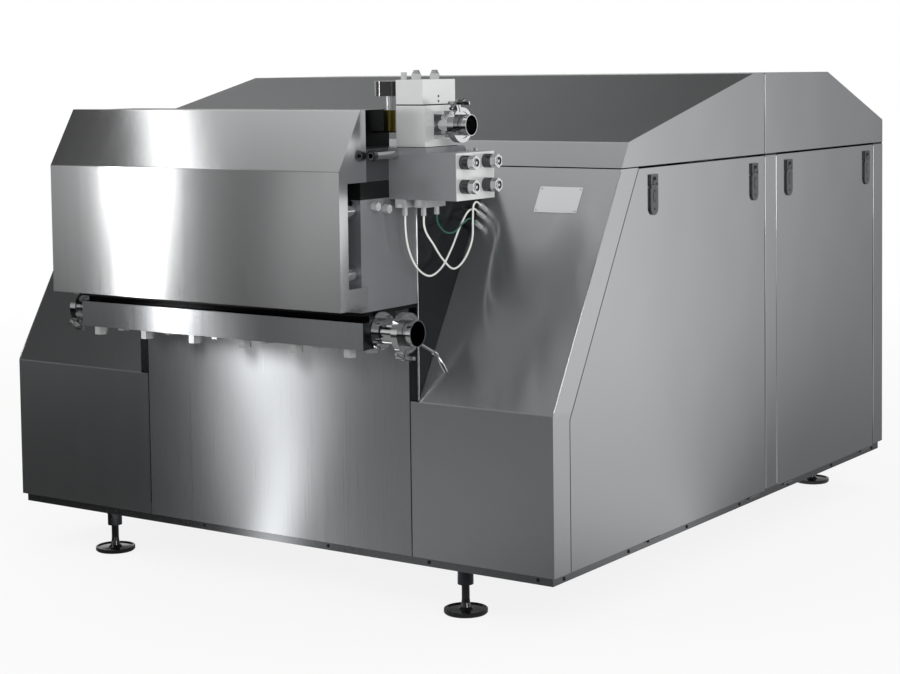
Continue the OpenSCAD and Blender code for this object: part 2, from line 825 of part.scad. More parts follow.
// Hinged clamp ring with a lug, a screw and a wing nut
module clamp(x, y, z, r, turn, flip) {
  half = clamp_w / 2;
  translate([x, y, z]) rotate([turn, 0, 0]) mirror([0, flip, 0]) {
    difference() {
      union() {
        rod_x([-half, half], 0, 0, r + clamp_t);
        box([-half, half], [-lug / 2, lug / 2], [r, r + clamp_t + lug]);
      }
      rod_x([-half - eps, half + eps], 0, 0, r + clear);
      box([-half - eps, half + eps], [-split / 2, split / 2], [r - eps, r + clamp_t + lug + eps]);
    }
    translate([0, 0, r + clamp_t + lug / 2]) {
      rod_y(0, [-lug / 2 - screw_tail, lug / 2 + wing], 0, screw_r);
      rod_y(0, [lug / 2, lug / 2 + wing_hub_l], 0, wing_hub_r);
      box([-wing, wing], [lug / 2 + wing_hub_l - wing_t, lug / 2 + wing_hub_l], [-screw_r, screw_r]);
    }
  }
}

module pipe_clamps() {
  color(polished) place() {
    clamp(suction_joint, manifold_y, manifold_mid, suction_ferrule, suction_turn, 1);
    clamp(blind_joint, manifold_y, manifold_mid, suction_ferrule, blind_turn, 0);
    clamp(discharge_joint, head_y, discharge_z, discharge_ferrule, discharge_turn, 0);
  }
}

// Homogenising head
module valve_body() {
  color(polished) place() difference() {
    box([block_r, body_x], body_y, [body_z, body_top]);
    rod_x([block_r - eps, seat_x + eps], head_y, head_z, inlet_r);
    rod_x([seat_x, body_x + eps], head_y, head_z, seat_r);
    rod_z(outlet_x, head_y, [head_z, body_top + eps], outlet_r);
  }
}

module end_cover() {
  color(polished) place() difference() {
    box([body_x, cover_x], body_y, [body_z, body_top - cover_step]);
    rod_x([body_x - eps, body_x + guide_l], head_y, head_z, plug_stem_r + fit);
  }
}

module head_nuts() {
  color(polished) place() {
    for (y = head_nut_y, z = head_nut_z) {
      rod_x([cover_x, cover_x + head_nut_l], y, z, head_nut_r);
      hex_x([cover_x + head_nut_l - eps, cover_x + head_nut_l + head_nut_hex], y, z, head_nut_r);
    }
    for (y = cap_nut_y) {
      hex_z(cap_nut_x, y, [cap_top, cap_top + cap_nut_h], cap_nut_r);
      translate([cap_nut_x, y, cap_top + cap_nut_h - eps])
        cylinder(h = cap_dome_h, r1 = cap_nut_r - cap_dome_step, r2 = cap_nut_r / 2);
    }
    hex_z(stack_l + vent_inset, stack_y[0] + vent_inset * 2, [cap_top, cap_top + vent_h], vent_r);
  }
}

module valve_seat() {
  color(iron) place() difference() {
    rod_x([seat_x, seat_x + seat_l], head_y, head_z, seat_r);
    rod_x([seat_x - eps, seat_x + seat_l + eps], head_y, head_z, seat_hole_r);
  }
}

module valve_plug() {
  face = seat_x + seat_l + clear / 2;
  color(iron) place() {
    rod_x([face, face + plug_l], head_y, head_z, plug_r);
    rod_x([face + plug_l - eps, face + plug_l + plug_stem_l], head_y, head_z, plug_stem_r);
  }
}

module outlet_block() {
  color(polished) place() difference() {
    box([stack_l, stack_r], stack_y, [body_top, outlet_top]);
    box([stack_r - recess_d, stack_r + eps], [recess_y, stack_y[1] + eps],
      [discharge_z - recess_h / 2, discharge_z + recess_h / 2]);
    rod_z(outlet_x, head_y, [body_top - eps, discharge_z], outlet_r);
    rod_x([outlet_x, stack_r], head_y, discharge_z, outlet_r);
  }
}

module outlet_cap() {
  color(polished) place() box([stack_l, stack_r - cap_step], stack_y, [outlet_top, cap_top]);
}

module discharge_port() {
  color(polished) place()
    pipe_end(stack_r - recess_d, discharge_end, discharge_joint, head_y, discharge_z, discharge_r,
      discharge_ferrule);
}

// Pressure regulator on a bracket, and the gauge stub
module regulator() {
  color("#8a7a34") place() {
    box([cover_r, cover_r + bracket_l], [reg_y - bracket_w / 2, reg_y + bracket_w / 2],
      [bracket_z - bracket_t, bracket_z]);
    rod_z(reg_x, reg_y, [bracket_z - eps, bracket_z + reg_body_h], reg_body_r);
    rod_z(reg_x, reg_y, [bracket_z, bracket_z + reg_body_h + reg_neck_h], reg_neck_r);
  }
}

module regulator_knob() {
  low = bracket_z + reg_body_h + reg_neck_h - knob_socket;
  color(black) place() difference() {
    rod_z(reg_x, reg_y, [low, low + knob_h], knob_r);
    rod_z(reg_x, reg_y, [low - eps, low + knob_socket + clear], reg_neck_r + fit);
  }
}

module gauge_stub() {
  front = body_y[0] - stub_l;
  color(polished) place() difference() {
    union() {
      rod_y(stub_x, [front, body_y[0]], stub_z, stub_r);
      rod_y(stub_x, [front, front + stub_ring_l], stub_z, stub_ring_r);
    }
    rod_y(stub_x, [front - eps, front + stub_l - stub_bore_rest], stub_z, stub_bore);
  }
}

// Fittings under the valve body and plugs on the block's end
module head_fittings() {
  color(steel) place() {
    box(strip_x, strip_y, [strip_z, body_z]);
    box(tee_x, tee_y, [strip_z, body_z]);
    for (p = [front_start, middle_start, green_start]) hex_z(p[0], p[1], [p[2], strip_z + eps], fit_r);
    for (p = plug_pos) hex_x([block_r, block_r + plug_hex_l], p[0], p[1], plug_hex_r);
  }
}

// Push-in fittings standing square on the right wing's slope
module slope_fittings() {
  color(steel) place() for (rise = slope_fit_rise)
    translate([slope_fit_x, on_slope(rise)[0], on_slope(rise)[1]]) rotate([slope_angle, 0, 0])
      cylinder(h = fit_l, r = fit_r);
}

// Smooth curve through route points
function spline(p, i, t) =
  let (n = len(p) - 1, a = p[i], b = p[i + 1],
    ta = i == 0 ? b - a : (b - p[i - 1]) / 2,
    tb = i + 1 == n ? b - a : (p[i + 2] - a) / 2)
  a * (2 * t ^ 3 - 3 * t ^ 2 + 1) + ta * (t ^ 3 - 2 * t ^ 2 + t)
    + b * (3 * t ^ 2 - 2 * t ^ 3) + tb * (t ^ 3 - t ^ 2);
function path(p, steps) = [for (i = [0 : len(p) - 2], k = [0 : steps - 1]) spline(p, i, k / steps),
  p[len(p) - 1]];
function heading(c, i) = unit(c[min(i + 1, len(c) - 1)] - c[max(i - 1, 0)]);

module hose(route, steps, r) {
  sides = 8;
  c = path(route, steps);
  points = [for (i = [0 : len(c) - 1])
    let (t = heading(c, i), n = unit(cross(t, [1, 0, 0])), b = cross(t, n))
    for (k = [0 : sides - 1]) c[i] + r * (cos(360 * k / sides) * n + sin(360 * k / sides) * b)];
  last = len(c) - 1;
  walls = [for (i = [0 : last - 1], k = [0 : sides - 1])
    [i * sides + k, i * sides + (k + 1) % sides, (i + 1) * sides + (k + 1) % sides, (i + 1) * sides + k]];
  ends = [[for (k = [sides - 1 : -1 : 0]) k], [for (k = [0 : sides - 1]) last * sides + k]];
  polyhedron(points, concat(walls, ends));
}

module hose_front() {
  color("#f2f2f2") place() hose(front_route, 3, hose_r);
}

module hose_middle() {
  color("#f2f2f2") place() hose(middle_route, 3, hose_r);
}

module hose_green() {
  color("#2f6f5a") place() hose(green_route, 2, green_r);
}

// Drive
module crankcase() {
  color(paint) place() difference() {
    union() {
      box([crank_l, crank_r], crank_y, crank_z);
      rod_x([crank_r - eps, crank_r + boss_l], shaft_y, shaft_z, boss_r);
    }
    for (x = plunger_x) rod_y(x, [crank_y[0] - eps, crank_y[0] + chamber_l], plunger_z, chamber_r);
    rod_x([crank_r - shaft_in, crank_r + boss_l + eps], shaft_y, shaft_z, shaft_r + fit);
  }
}

module motor() {
  color(paint) place() difference() {
    union() {
      rod_x(motor_x, motor_y, motor_z, motor_body_r - fin_h);
      for (x = [[motor_x[0], fin_x[0]], [fin_x[1], motor_x[1]]]) rod_x(x, motor_y, motor_z, motor_body_r);
      translate([0, motor_y, motor_z]) for (a = [0 : fin_step : 360 - fin_step]) rotate([a, 0, 0])
        box([fin_x[0] - eps, fin_x[1] + eps], [-fin_t / 2, fin_t / 2], [0, motor_body_r - eps]);
      box([motor_x[0] + motor_foot[1], motor_x[1] - motor_foot[1]],
        [motor_y - motor_foot[0], motor_y + motor_foot[0]], [base_top, motor_z - motor_foot[1]]);
      translate([pump_x - motor_box[0], motor_y - motor_box[1], motor_z])
        cube([motor_box[0] * 2, motor_box[1] * 2, motor_body_r + motor_box[2]]);
    }
    rod_x([motor_x[1] - shaft_in, motor_x[1] + eps], motor_y, motor_z, shaft_r + fit);
  }
}

// Pulley with two flanges, on its own shaft end
module pulley(y, z, r, shaft_from) {
  x = [pulley_x, pulley_x + pulley_w];
  rod_x(x, y, z, r - belt_t);
  rod_x([x[0], x[0] + pulley_lip], y, z, r);
  rod_x([x[1] - pulley_lip, x[1]], y, z, r);
  rod_x([shaft_from, x[0] + eps], y, z, shaft_r);
}

module motor_pulley() {
  color(iron) place() pulley(motor_y, motor_z, motor_r, motor_x[1] - shaft_in + eps);
}

module driven_pulley() {
  color(iron) place() pulley(shaft_y, shaft_z, driven_r, crank_r - shaft_in + eps);
}

// Open belt round both pulleys: two arcs and two straight runs
module drive_belt() {
  span = norm([motor_y - shaft_y, motor_z - shaft_z]);
  dip = atan2(motor_z - shaft_z, motor_y - shaft_y);
  wrap = asin((driven_r - motor_r) / span);
  run = span * cos(wrap);
  x = [pulley_x + pulley_lip + clear, pulley_x + pulley_w - pulley_lip - clear];
  color(black) place() translate([0, shaft_y, shaft_z]) rotate([dip, 0, 0]) {
    belt_arc(x, driven_r - belt_t + belt_play, [-2 * driven_r, driven_r * sin(wrap)]);
    translate([0, span, 0])
      belt_arc(x, motor_r - belt_t + belt_play, [motor_r * sin(wrap), 2 * motor_r]);
    for (s = [-1, 1]) rotate([s * (90 - wrap), 0, 0])
      translate([0, driven_r - belt_t + belt_play, 0])
        box(x, [0, belt_t], s < 0 ? [0, run] : [-run, 0]);
  }
}

module belt_arc(x, r, keep) {
  intersection() {
    difference() {
      rod_x(x, 0, 0, r + belt_t);
      rod_x([x[0] - eps, x[1] + eps], 0, 0, r);
    }
    box([x[0] - eps, x[1] + eps], keep, [-2 * r, 2 * r]);
  }
}

base_frame();
frame_posts();
foot([-foot_front[0], foot_front[1]]);  // foot_front_left
foot(foot_front);  // foot_front_right
foot([-foot_rear[0], foot_rear[1]]);  // foot_rear_left
foot(foot_rear);  // foot_rear_right
nose_cover();
front_panel();
left_front_panel();
right_front_panel();
rear_panel();
front_lid();
rear_lid();
door_front(-1);  // door_left_front
door_rear(-1);  // door_left_rear
door_front(1);  // door_right_front
door_rear(1);  // door_right_rear
latch_levers(-1, latch_front);  // latch_left_front
latch_levers(-1, latch_rear);  // latch_left_rear
latch_levers(1, latch_front);  // latch_right_front
latch_levers(1, latch_rear);  // latch_right_rear
hood();
top_cover();
pump_block();
spacer_studs();
front_caps();
suction_valves();
discharge_valves();
plunger_seals();
plunger(0);  // plunger_1
plunger(1);  // plunger_2
plunger(2);  // plunger_3
plunger(3);  // plunger_4
plunger(4);  // plunger_5
suction_manifold();
manifold_bolts();
suction_port();
blind_port();
pipe_clamps();
valve_body();
end_cover();
head_nuts();
valve_seat();
valve_plug();
outlet_block();
outlet_cap();
discharge_port();
regulator();
regulator_knob();
gauge_stub();
head_fittings();
slope_fittings();
hose_front();
hose_middle();
hose_green();
crankcase();
motor();
motor_pulley();
driven_pulley();
drive_belt();
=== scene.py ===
"""Looks of a dairy homogenizer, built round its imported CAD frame."""

import math

import bmesh
import bpy
from bpy.props import FloatProperty, FloatVectorProperty, IntProperty, PointerProperty
from bpy.types import Operator, Panel, PropertyGroup
from mathutils import Matrix, Vector


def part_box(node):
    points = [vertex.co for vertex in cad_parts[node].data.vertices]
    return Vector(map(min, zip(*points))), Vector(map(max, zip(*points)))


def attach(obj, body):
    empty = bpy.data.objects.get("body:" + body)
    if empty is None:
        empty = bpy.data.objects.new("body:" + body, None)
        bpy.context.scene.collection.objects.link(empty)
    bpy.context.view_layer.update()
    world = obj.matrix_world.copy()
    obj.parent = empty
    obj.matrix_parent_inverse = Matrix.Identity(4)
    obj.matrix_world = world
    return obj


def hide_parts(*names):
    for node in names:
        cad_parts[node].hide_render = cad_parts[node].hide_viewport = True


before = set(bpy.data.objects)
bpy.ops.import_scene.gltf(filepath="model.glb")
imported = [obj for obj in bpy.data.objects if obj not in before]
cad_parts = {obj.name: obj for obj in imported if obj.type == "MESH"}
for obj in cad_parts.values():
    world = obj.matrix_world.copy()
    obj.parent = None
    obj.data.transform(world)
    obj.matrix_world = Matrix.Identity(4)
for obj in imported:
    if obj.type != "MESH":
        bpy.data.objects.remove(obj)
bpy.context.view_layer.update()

bl_info = {
    "name": "Dairy homogenizer looks",
    "version": (1, 0, 0),
    "blender": (4, 5, 0),
    "location": "View3D > Sidebar > Homogenizer",
    "description": "Finishes, tubes and small fittings of a dairy homogenizer",
    "category": "Object",
}

MM = 0.001
MACHINE = "machine"

# Cabinet values in millimetres, measured from the floor and from the front panel's plane
FRONT_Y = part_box("front_panel")[0].y
HALF_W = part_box("right_front_panel")[1].x / MM
FOLD_Z, SEAM_Z, SLOPE_RUN = 529.0, 1093.0, 331.0
SLOPE_ANGLE = math.atan2(SEAM_Z - FOLD_Z, SLOPE_RUN)
BLOCK_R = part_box("pump_block")[1].x / MM
# What stands further out than this on a door is a latch head, and no part is this far off
OUTSIDE, FAR = (HALF_W + 0.4) * MM, 9.0

# Places, in metres, where a finish changes. The columns' tops, painted black as shade above this,
# and the base's lower edge
WALL_TOP, BASE_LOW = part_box("door_right_front")[1].z + 0.0002, 0.1178
# The manifold bar's rebate, and on the pump block the tops of the painted shadow under the hood, of
# the side plate and of the painted black core
REBATE, SHADOW, SIDE_PLATE, CORE_SHADE = 0.7498, 0.774, 1.041, 1.083
# The joints under and over the outlet block, painted dark as shade, and the right ends of the valve
# body, painted pale as light, and of the manifold bar, painted dark as shade
OUTLET_LOW, OUTLET_TOP = (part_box("outlet_block")[i].z for i in (0, 1))
JOINT = 0.0015
PAINTED_LIGHT_END, BAR_END = (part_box(node)[1].x - JOINT for node in ("end_cover", "suction_manifold"))
# The nuts' sleeves, painted dark as shade and reflection, end at NUT_HEX, and those on the cap,
# which keep their bright tint, stand above NUT_TOP
NUT_HEX, NUT_TOP, REGULATOR_NECK, REGULATOR_PLATE = 0.734, 1.2, 1.2488, 1.1982


def srgb(code):
    """Linear colour of an sRGB hex value."""
    parts = [int(code[i : i + 2], 16) / 255 for i in (1, 3, 5)]
    return tuple(c / 12.92 if c <= 0.04045 else ((c + 0.055) / 1.055) ** 2.4 for c in parts)


def at(x, y, z):
    """A point given in cabinet millimetres, in the shared frame."""
    return Vector((x * MM, y * MM + FRONT_Y, z * MM))


def colour(code, name, description):
    return FloatVectorProperty(
        name=name, description=description, subtype="COLOR", size=3, min=0.0, max=1.0,
        default=srgb(code),
    )


def length(mm, name, description):
    return FloatProperty(
        name=name, description=description, subtype="DISTANCE", unit="LENGTH", default=mm * MM
    )


class HomogenizerColours(PropertyGroup):
    sheet: colour("#b9bbbd", "Sheet", "Satin stainless sheet of the cabinet")
    front: colour("#a8aaac", "Front", "Coarse-brushed centre panel")
    hood: colour("#d9dadb", "Hood", "Brushed stainless sheet of the pump hood")
    # On the valve body's right end this pale tint is painted light
    block: colour("#dcdddd", "Block", "Pale blocks of the outlet and ground end of the head")
    milled: colour("#8d8f92", "Milled", "Pump block and valve body")
    turned: colour("#dddedf", "Turned", "Turned and polished stainless pipe work")
    # Dark tint of the nose: painted shade behind the pump
    nose: colour("#4c4e50", "Nose", "Duller sheet of the nose behind the pump")
    # Dark grey: painted shade and painted dark reflection on the nuts' sleeves, painted shade on
    # the manifold bar's right end and on the pump block above its black core, and the feet's
    # sleeves
    sleeve_and_shade: colour("#55575a", "Sleeve", "Burnished sleeves of the nuts and feet")
    # Near-black: painted shade on the cover over the pump block, on a band of the pump block and in
    # the outlet block's joints; the real colour of the regulator's bracket
    cover: colour("#222324", "Cover", "Dark cover over the pump block")
    base: colour("#888a8c", "Base", "Base frame under the cabinet")
    latch: colour("#66686a", "Latch", "Die-cast latches")
    # Also painted black as shade on the columns' tops, in the manifold bar's rebate and on the pump
    # block under the hood
    foot: colour("#101011", "Foot", "Black levelling feet")
    knob: colour("#18181a", "Knob", "Black knob")
    brass: colour("#6f6530", "Brass", "Regulator body")
    tube: colour("#f1f1ee", "Tube", "White pressure tube")
    green: colour("#2f6f5a", "Green tube", "Thin green tube")
    iron: colour("#53565a", "Iron", "Cast pulleys")
    paint: colour("#566876", "Paint", "Enamel on the drive")
    rubber: colour("#1c1c1d", "Rubber", "Belt and seals")
    alloy: colour("#8c8d90", "Alloy", "Hard valve seat and plug")


class HomogenizerSizes(PropertyGroup):
    plate_w: length(125, "Plate width", "Width of the bare plate on the right wing")
    plate_h: length(72, "Plate height", "Height of the bare plate along the slope")
    plate_t: length(1.0, "Plate thickness", "Thickness of the bare plate")
    screw_r: length(5.0, "Skirt screw radius", "Radius of the skirt's screw heads")
    screw_h: length(2.0, "Skirt screw height", "Height of the skirt's screw heads")
    screws: IntProperty(
        name="Skirt screws", description="Screws along each half of the front and rear", default=3
    )
    tube_r: length(2.5, "Tube radius", "Radius of the white tubes")
    green_r: length(2.0, "Green tube radius", "Radius of the green tube")
    dish_w: length(13.0, "Dish width", "Width of the finger dish in a latch")
    dish_h: length(30.0, "Dish height", "Height of the finger dish in a latch")


class HomogenizerStudio(PropertyGroup):
    lens: FloatProperty(name="Lens", description="Focal length on a 36 mm sensor", default=78.33)
    floor: colour("#d6d6d4", "Floor", "Pale studio floor")
    room: FloatProperty(name="Room", description="Light of the room on matt surfaces", default=0.9)


def add(tree, kind, settings=None, **sockets):
    """Adds a node, sets its settings, and fills or links its inputs by name, or by index as _0."""
    node = tree.nodes.new(kind)
    for key, value in (settings or {}).items():
        setattr(node, key, value)
    for key, value in sockets.items():
        socket = node.inputs[int(key[1:])] if key[0] == "_" else node.inputs[key.replace("_", " ")]
        if isinstance(value, bpy.types.NodeSocket):
            tree.links.new(value, socket)
        else:
            socket.default_value = value
    return node


def ramp(tree, value, start, stop, low, high):
    """A value that goes from low to high while the given one goes from start to stop."""
    return add(
        tree, "ShaderNodeMapRange", Value=value, From_Min=start, From_Max=stop, To_Min=low,
        To_Max=high,
    ).outputs[0]


def blend(tree, share, first, second):
    """A value that goes from the first to the second while the share goes from nought to one."""
    return add(
        tree, "ShaderNodeMix", {"data_type": "FLOAT"}, _0=share, _2=first, _3=second
    ).outputs[0]


def calc(tree, operation, first, second=0.0):
    return add(tree, "ShaderNodeMath", {"operation": operation}, _0=first, _1=second).outputs[0]


def part_of(tree, vector, axis):
    return add(tree, "ShaderNodeSeparateXYZ", Vector=vector).outputs[axis]


def vector_math(tree, operation, first, second=(0, 0, 0)):
    """The outputs of a vector operation: a vector, and a number called Value."""
    return add(tree, "ShaderNodeVectorMath", {"operation": operation}, _0=first, _1=second).outputs


def noise(tree, vector, scale, detail, roughness=0.5):
    return add(
        tree, "ShaderNodeTexNoise", Vector=vector, Scale=scale, Detail=detail, Roughness=roughness
    ).outputs["Fac"]


def tint_mix(tree, share, first, second, way="MIX"):
    return add(
        tree, "ShaderNodeMix", {"data_type": "RGBA", "blend_type": way}, _0=share, _6=first,
        _7=second,
    ).outputs[2]


def blank(name):
    """A new material with only its output, and the Object coordinates."""
    material = bpy.data.materials.new(name)
    material.use_nodes = True
    tree = material.node_tree
    tree.nodes.clear()
    output = add(tree, "ShaderNodeOutputMaterial")
    coordinates = add(tree, "ShaderNodeTexCoord").outputs["Object"]
    return material, tree, output, coordinates


def shade(tint, factor):
    """A tint made darker or paler, with its alpha."""
    return (*(min(1.0, c * factor) for c in tint), 1.0)


def within(tree, coordinates, axis, low, high):
    """One where the place along an axis lies between two values."""
    place = part_of(tree, coordinates, axis)
    above, below = calc(tree, "GREATER_THAN", place, low), calc(tree, "LESS_THAN", place, high)
    return calc(tree, "MULTIPLY", above, below)


# Most of a noise texture lies between these values, and no metal is smoother than this
NOISE_SPAN, MIRROR_ROUGH = (0.3, 0.7), 0.02
# Upright but for a hair, so that a level face has a brushing direction too, and a quarter turn
NEARLY_UP, QUARTER = (0.001, 0.0, 1.0), 0.25


def metal(name, tint, rough, grain, tone=0.03, wave=0.0, cloud_size=0.6, spread=0.02, brushed=0.0,
          bare=1.0, zones=(), dull=None):
    """Steel: fine grain drawn long one way, soft clouds in the tone, and a slight wave.

    Each of zones is (axis, low, high, tint), and dull is (axis, low, high, bare).
    """
    material, tree, output, coordinates = blank(name)
    stretched = add(tree, "ShaderNodeMapping", Vector=coordinates, Scale=grain).outputs[0]
    streaks = noise(tree, stretched, 1.0, 2.0, roughness=0.6)
    clouds = noise(tree, coordinates, 1 / cloud_size, 2.0)
    streak_tone = tint_mix(tree, streaks, shade(tint, 1 - tone), shade(tint, 1 + tone))
    cloud_grey = ramp(tree, clouds, *NOISE_SPAN, 1 - tone, 1.0)
    tone_out = tint_mix(tree, 1.0, streak_tone, cloud_grey, "MULTIPLY")
    gloss = ramp(tree, streaks, *NOISE_SPAN, max(MIRROR_ROUGH, rough - spread), rough + spread)
    relief = add(tree, "ShaderNodeBump", Strength=1.0, Distance=wave, Height=clouds).outputs[0]
    for axis, low, high, other in zones:
        inside = within(tree, coordinates, axis, low, high)
        tone_out = tint_mix(tree, inside, tone_out, shade(other, 1.0))
    if dull:
        axis, low, high, dull_bare = dull
        bare = blend(tree, within(tree, coordinates, axis, low, high), bare, dull_bare)
    facing = add(tree, "ShaderNodeNewGeometry").outputs["True Normal"]
    level = vector_math(tree, "CROSS_PRODUCT", NEARLY_UP, facing)[0]
    shader = add(
        tree, "ShaderNodeBsdfPrincipled", Base_Color=tone_out, Metallic=bare, Roughness=gloss,
        Normal=relief, Anisotropic=brushed, Anisotropic_Rotation=QUARTER, Tangent=level,
    )
    tree.links.new(shader.outputs[0], output.inputs["Surface"])
    return material


# Clouds to the metre in a moulded surface, and how far its grit makes it glossier and duller
MOULDED_CLOUDS, GLOSSIER, DULLER = 9.0, 0.8, 1.2


def moulded(name, tint, rough, grit, depth, tone=0.1, coat=0.0, metallic=0.0):
    """Plastic, rubber, enamel or casting: a fine even grit, with a softly uneven tone."""
    material, tree, output, coordinates = blank(name)
    grit_noise = noise(tree, coordinates, 1 / grit, 3.0)
    clouds = noise(tree, coordinates, MOULDED_CLOUDS, 2.0)
    tone_out = tint_mix(tree, clouds, shade(tint, 1 - tone), shade(tint, 1 + tone))
    gloss = ramp(tree, grit_noise, 0.0, 1.0, rough * GLOSSIER, rough * DULLER)
    relief = add(tree, "ShaderNodeBump", Strength=1.0, Distance=depth, Height=grit_noise).outputs[0]
    shader = add(
        tree, "ShaderNodeBsdfPrincipled", Base_Color=tone_out, Roughness=gloss, Normal=relief,
        Metallic=metallic, Coat_Weight=coat,
    )
    tree.links.new(shader.outputs[0], output.inputs["Surface"])
    return material


FINISH = {}
# Grain to the metre in X, Y and Z: brush lines on a front and on a side, milled, and turned
ACROSS, ALONG = (900.0, 2.0, 2.0), (2.0, 900.0, 2.0)
MILLED, TURNED = (120.0, 120.0, 400.0), (500.0, 250.0, 250.0)


def make_finishes(colours):
    # Satin stainless sheet: upright brush lines about 1 mm apart, which draw a mirrored lamp long
    FINISH["sheet"] = metal(
        "satin stainless sheet", colours.sheet, 0.21, ACROSS, wave=0.002, brushed=0.95, bare=0.985
    )
    # The right wing's slope, under the tubes, is wiped often and has gone a little milky
    FINISH["wing"] = metal(
        "wiped stainless wing", colours.sheet, 0.21, ACROSS, wave=0.002, brushed=0.95, bare=0.985,
        dull=("Z", FOLD_Z * MM, FAR, 0.84),
    )
    # The centre panel is brushed coarser, so it draws a lamp out to one upright band
    FINISH["front"] = metal(
        "coarse-brushed stainless panel", colours.front, 0.29, ACROSS, wave=0.002, brushed=1.0,
        bare=0.985,
    )
    # The doors' grain runs upright too; what stands proud of the sheet is the die-cast latch head
    FINISH["door"] = metal(
        "satin stainless door", colours.sheet, 0.2, ALONG, wave=0.002, brushed=0.9,
        zones=(("X", OUTSIDE, FAR, colours.latch), ("X", -FAR, -OUTSIDE, colours.latch)),
    )
    # The nose is the same sheet, a little rougher, with its dark tint painted as the pump's shade
    FINISH["nose"] = metal("stainless nose in painted shade", colours.nose, 0.24, ACROSS)
    # Columns: their tops, in the seam under the lids, are painted black as its shade
    FINISH["post"] = metal(
        "satin stainless column", colours.sheet, 0.19, ALONG, brushed=0.8,
        zones=(("Z", WALL_TOP, FAR, colours.foot),),
    )
    # Brushed hood sheet: brighter, with fine upright brush lines
    FINISH["hood"] = metal(
        "brushed stainless hood", colours.hood, 0.165, ACROSS, tone=0.04, wave=0.001, brushed=0.95
    )
    # The manifold bar is brushed as the sheet is, with painted shade: black in the rebate along its
    # top and dark grey on its right end
    FINISH["manifold"] = metal(
        "brushed stainless bar", colours.sheet, 0.18, ACROSS, brushed=1.0,
        zones=(("Z", REBATE, FAR, colours.foot), ("X", BAR_END, FAR, colours.sleeve_and_shade)),
    )
    # Milled pump block: fine and dull from the cutter, with painted shade: black under the hood, a
    # black core above the side plate and dark grey above that
    FINISH["block"] = metal(
        "milled stainless pump block", colours.milled, 0.2, MILLED, tone=0.012, bare=0.6,
        zones=(
            ("Z", SIDE_PLATE, FAR, colours.sleeve_and_shade), ("Z", SIDE_PLATE, CORE_SHADE, colours.cover),
            ("Z", -FAR, SHADOW, colours.foot),
        ),
    )
    # Valve body: the same, but its right end is painted pale, as the light that falls on it
    FINISH["valve"] = metal(
        "milled stainless valve body", colours.milled, 0.22, MILLED, tone=0.012, bare=0.35,
        zones=(("X", PAINTED_LIGHT_END, FAR, colours.block),),
    )
    # Outlet blocks: blasted with fine beads, so pale from every side, with their joints painted
    # dark as the shade in them
    FINISH["outlet"] = metal(
        "bead-blasted stainless block", colours.block, 0.22, MILLED, tone=0.012, bare=0.4,
        zones=(
            ("Z", -FAR, OUTLET_LOW + JOINT, colours.cover),
            ("Z", OUTLET_TOP - JOINT, OUTLET_TOP + JOINT, colours.cover),
        ),
    )
    # Turned and polished pipe work: nearly mirror bright
    FINISH["turned"] = metal("polished stainless fittings", colours.turned, 0.08, TURNED)
    # Small fittings: nickel-plated and a little milky
    FINISH["fitting"] = metal("nickel-plated fittings", colours.turned, 0.12, TURNED, bare=0.55)
    # Cover sheet: satin steel, painted near-black as the shade it stands in
    FINISH["cover"] = metal("steel cover in painted shade", colours.cover, 0.34, ACROSS)
    # Base frame: folded stainless, duller than the panels
    FINISH["base"] = metal(
        "dull stainless base", colours.base, 0.26, (250.0, 250.0, 900.0),
        zones=(("Z", -FAR, BASE_LOW, colours.sleeve_and_shade),),
    )
    # Zinc die-cast latch: dull grey, fine cast skin
    FINISH["latch"] = moulded(
        "die-cast zinc latch", colours.latch, 0.34, 0.003, 0.00001, metallic=0.85
    )
    # Black gloss plastics: moulded, smooth, with a clear highlight
    FINISH["foot"] = moulded("black gloss polyamide", colours.foot, 0.1, 0.004, 0.000005, coat=0.6)
    FINISH["knob"] = moulded("black phenolic knob", colours.knob, 0.12, 0.002, 0.000005, coat=0.6)
    # Brass regulator body between a bright neck and its dark bracket
    FINISH["brass"] = metal(
        "dull brass", colours.brass, 0.3, (60.0, 60.0, 500.0),
        zones=(
            ("Z", REGULATOR_NECK, FAR, colours.turned), ("Z", -FAR, REGULATOR_PLATE, colours.cover),
        ),
    )
    # Head nuts: polished six-sided ends, on sleeves painted dark grey as shade and dark reflection
    FINISH["nut"] = metal(
        "stainless nut with painted shade on its sleeves", colours.turned, 0.14, TURNED, bare=0.8,
        zones=(("X", -FAR, NUT_HEX, colours.sleeve_and_shade), ("Z", NUT_TOP, FAR, colours.turned)),
    )
    # Polyamide tube: waxy and slightly glossy
    FINISH["tube"] = moulded("white polyamide tube", colours.tube, 0.35, 0.004, 0.00001, tone=0.03)
    FINISH["green"] = moulded(
        "green polyurethane tube", colours.green, 0.3, 0.004, 0.00001, tone=0.06
    )
    # Grey iron, as cast: rough sand skin
    FINISH["iron"] = moulded("grey cast iron", colours.iron, 0.55, 0.004, 0.0002, metallic=0.7)
    # Brushed-on machine enamel over a casting
    FINISH["paint"] = moulded("blue-grey enamel", colours.paint, 0.38, 0.006, 0.00015, coat=0.2)
    # Rubber: matt, with a fine tooth
    FINISH["rubber"] = moulded("black rubber", colours.rubber, 0.62, 0.003, 0.0001)
    # Hard alloy of the seat and plug: lapped, a little grey
    FINISH["alloy"] = metal("hard cobalt alloy", colours.alloy, 0.3, (400.0, 60.0, 60.0))
    # Holes and slots: matt black, painted as the shade in them, as the eye sees no wall in them
    FINISH["hole"] = moulded("dark recess", srgb("#0b0b0c"), 0.7, 0.004, 0.00001)


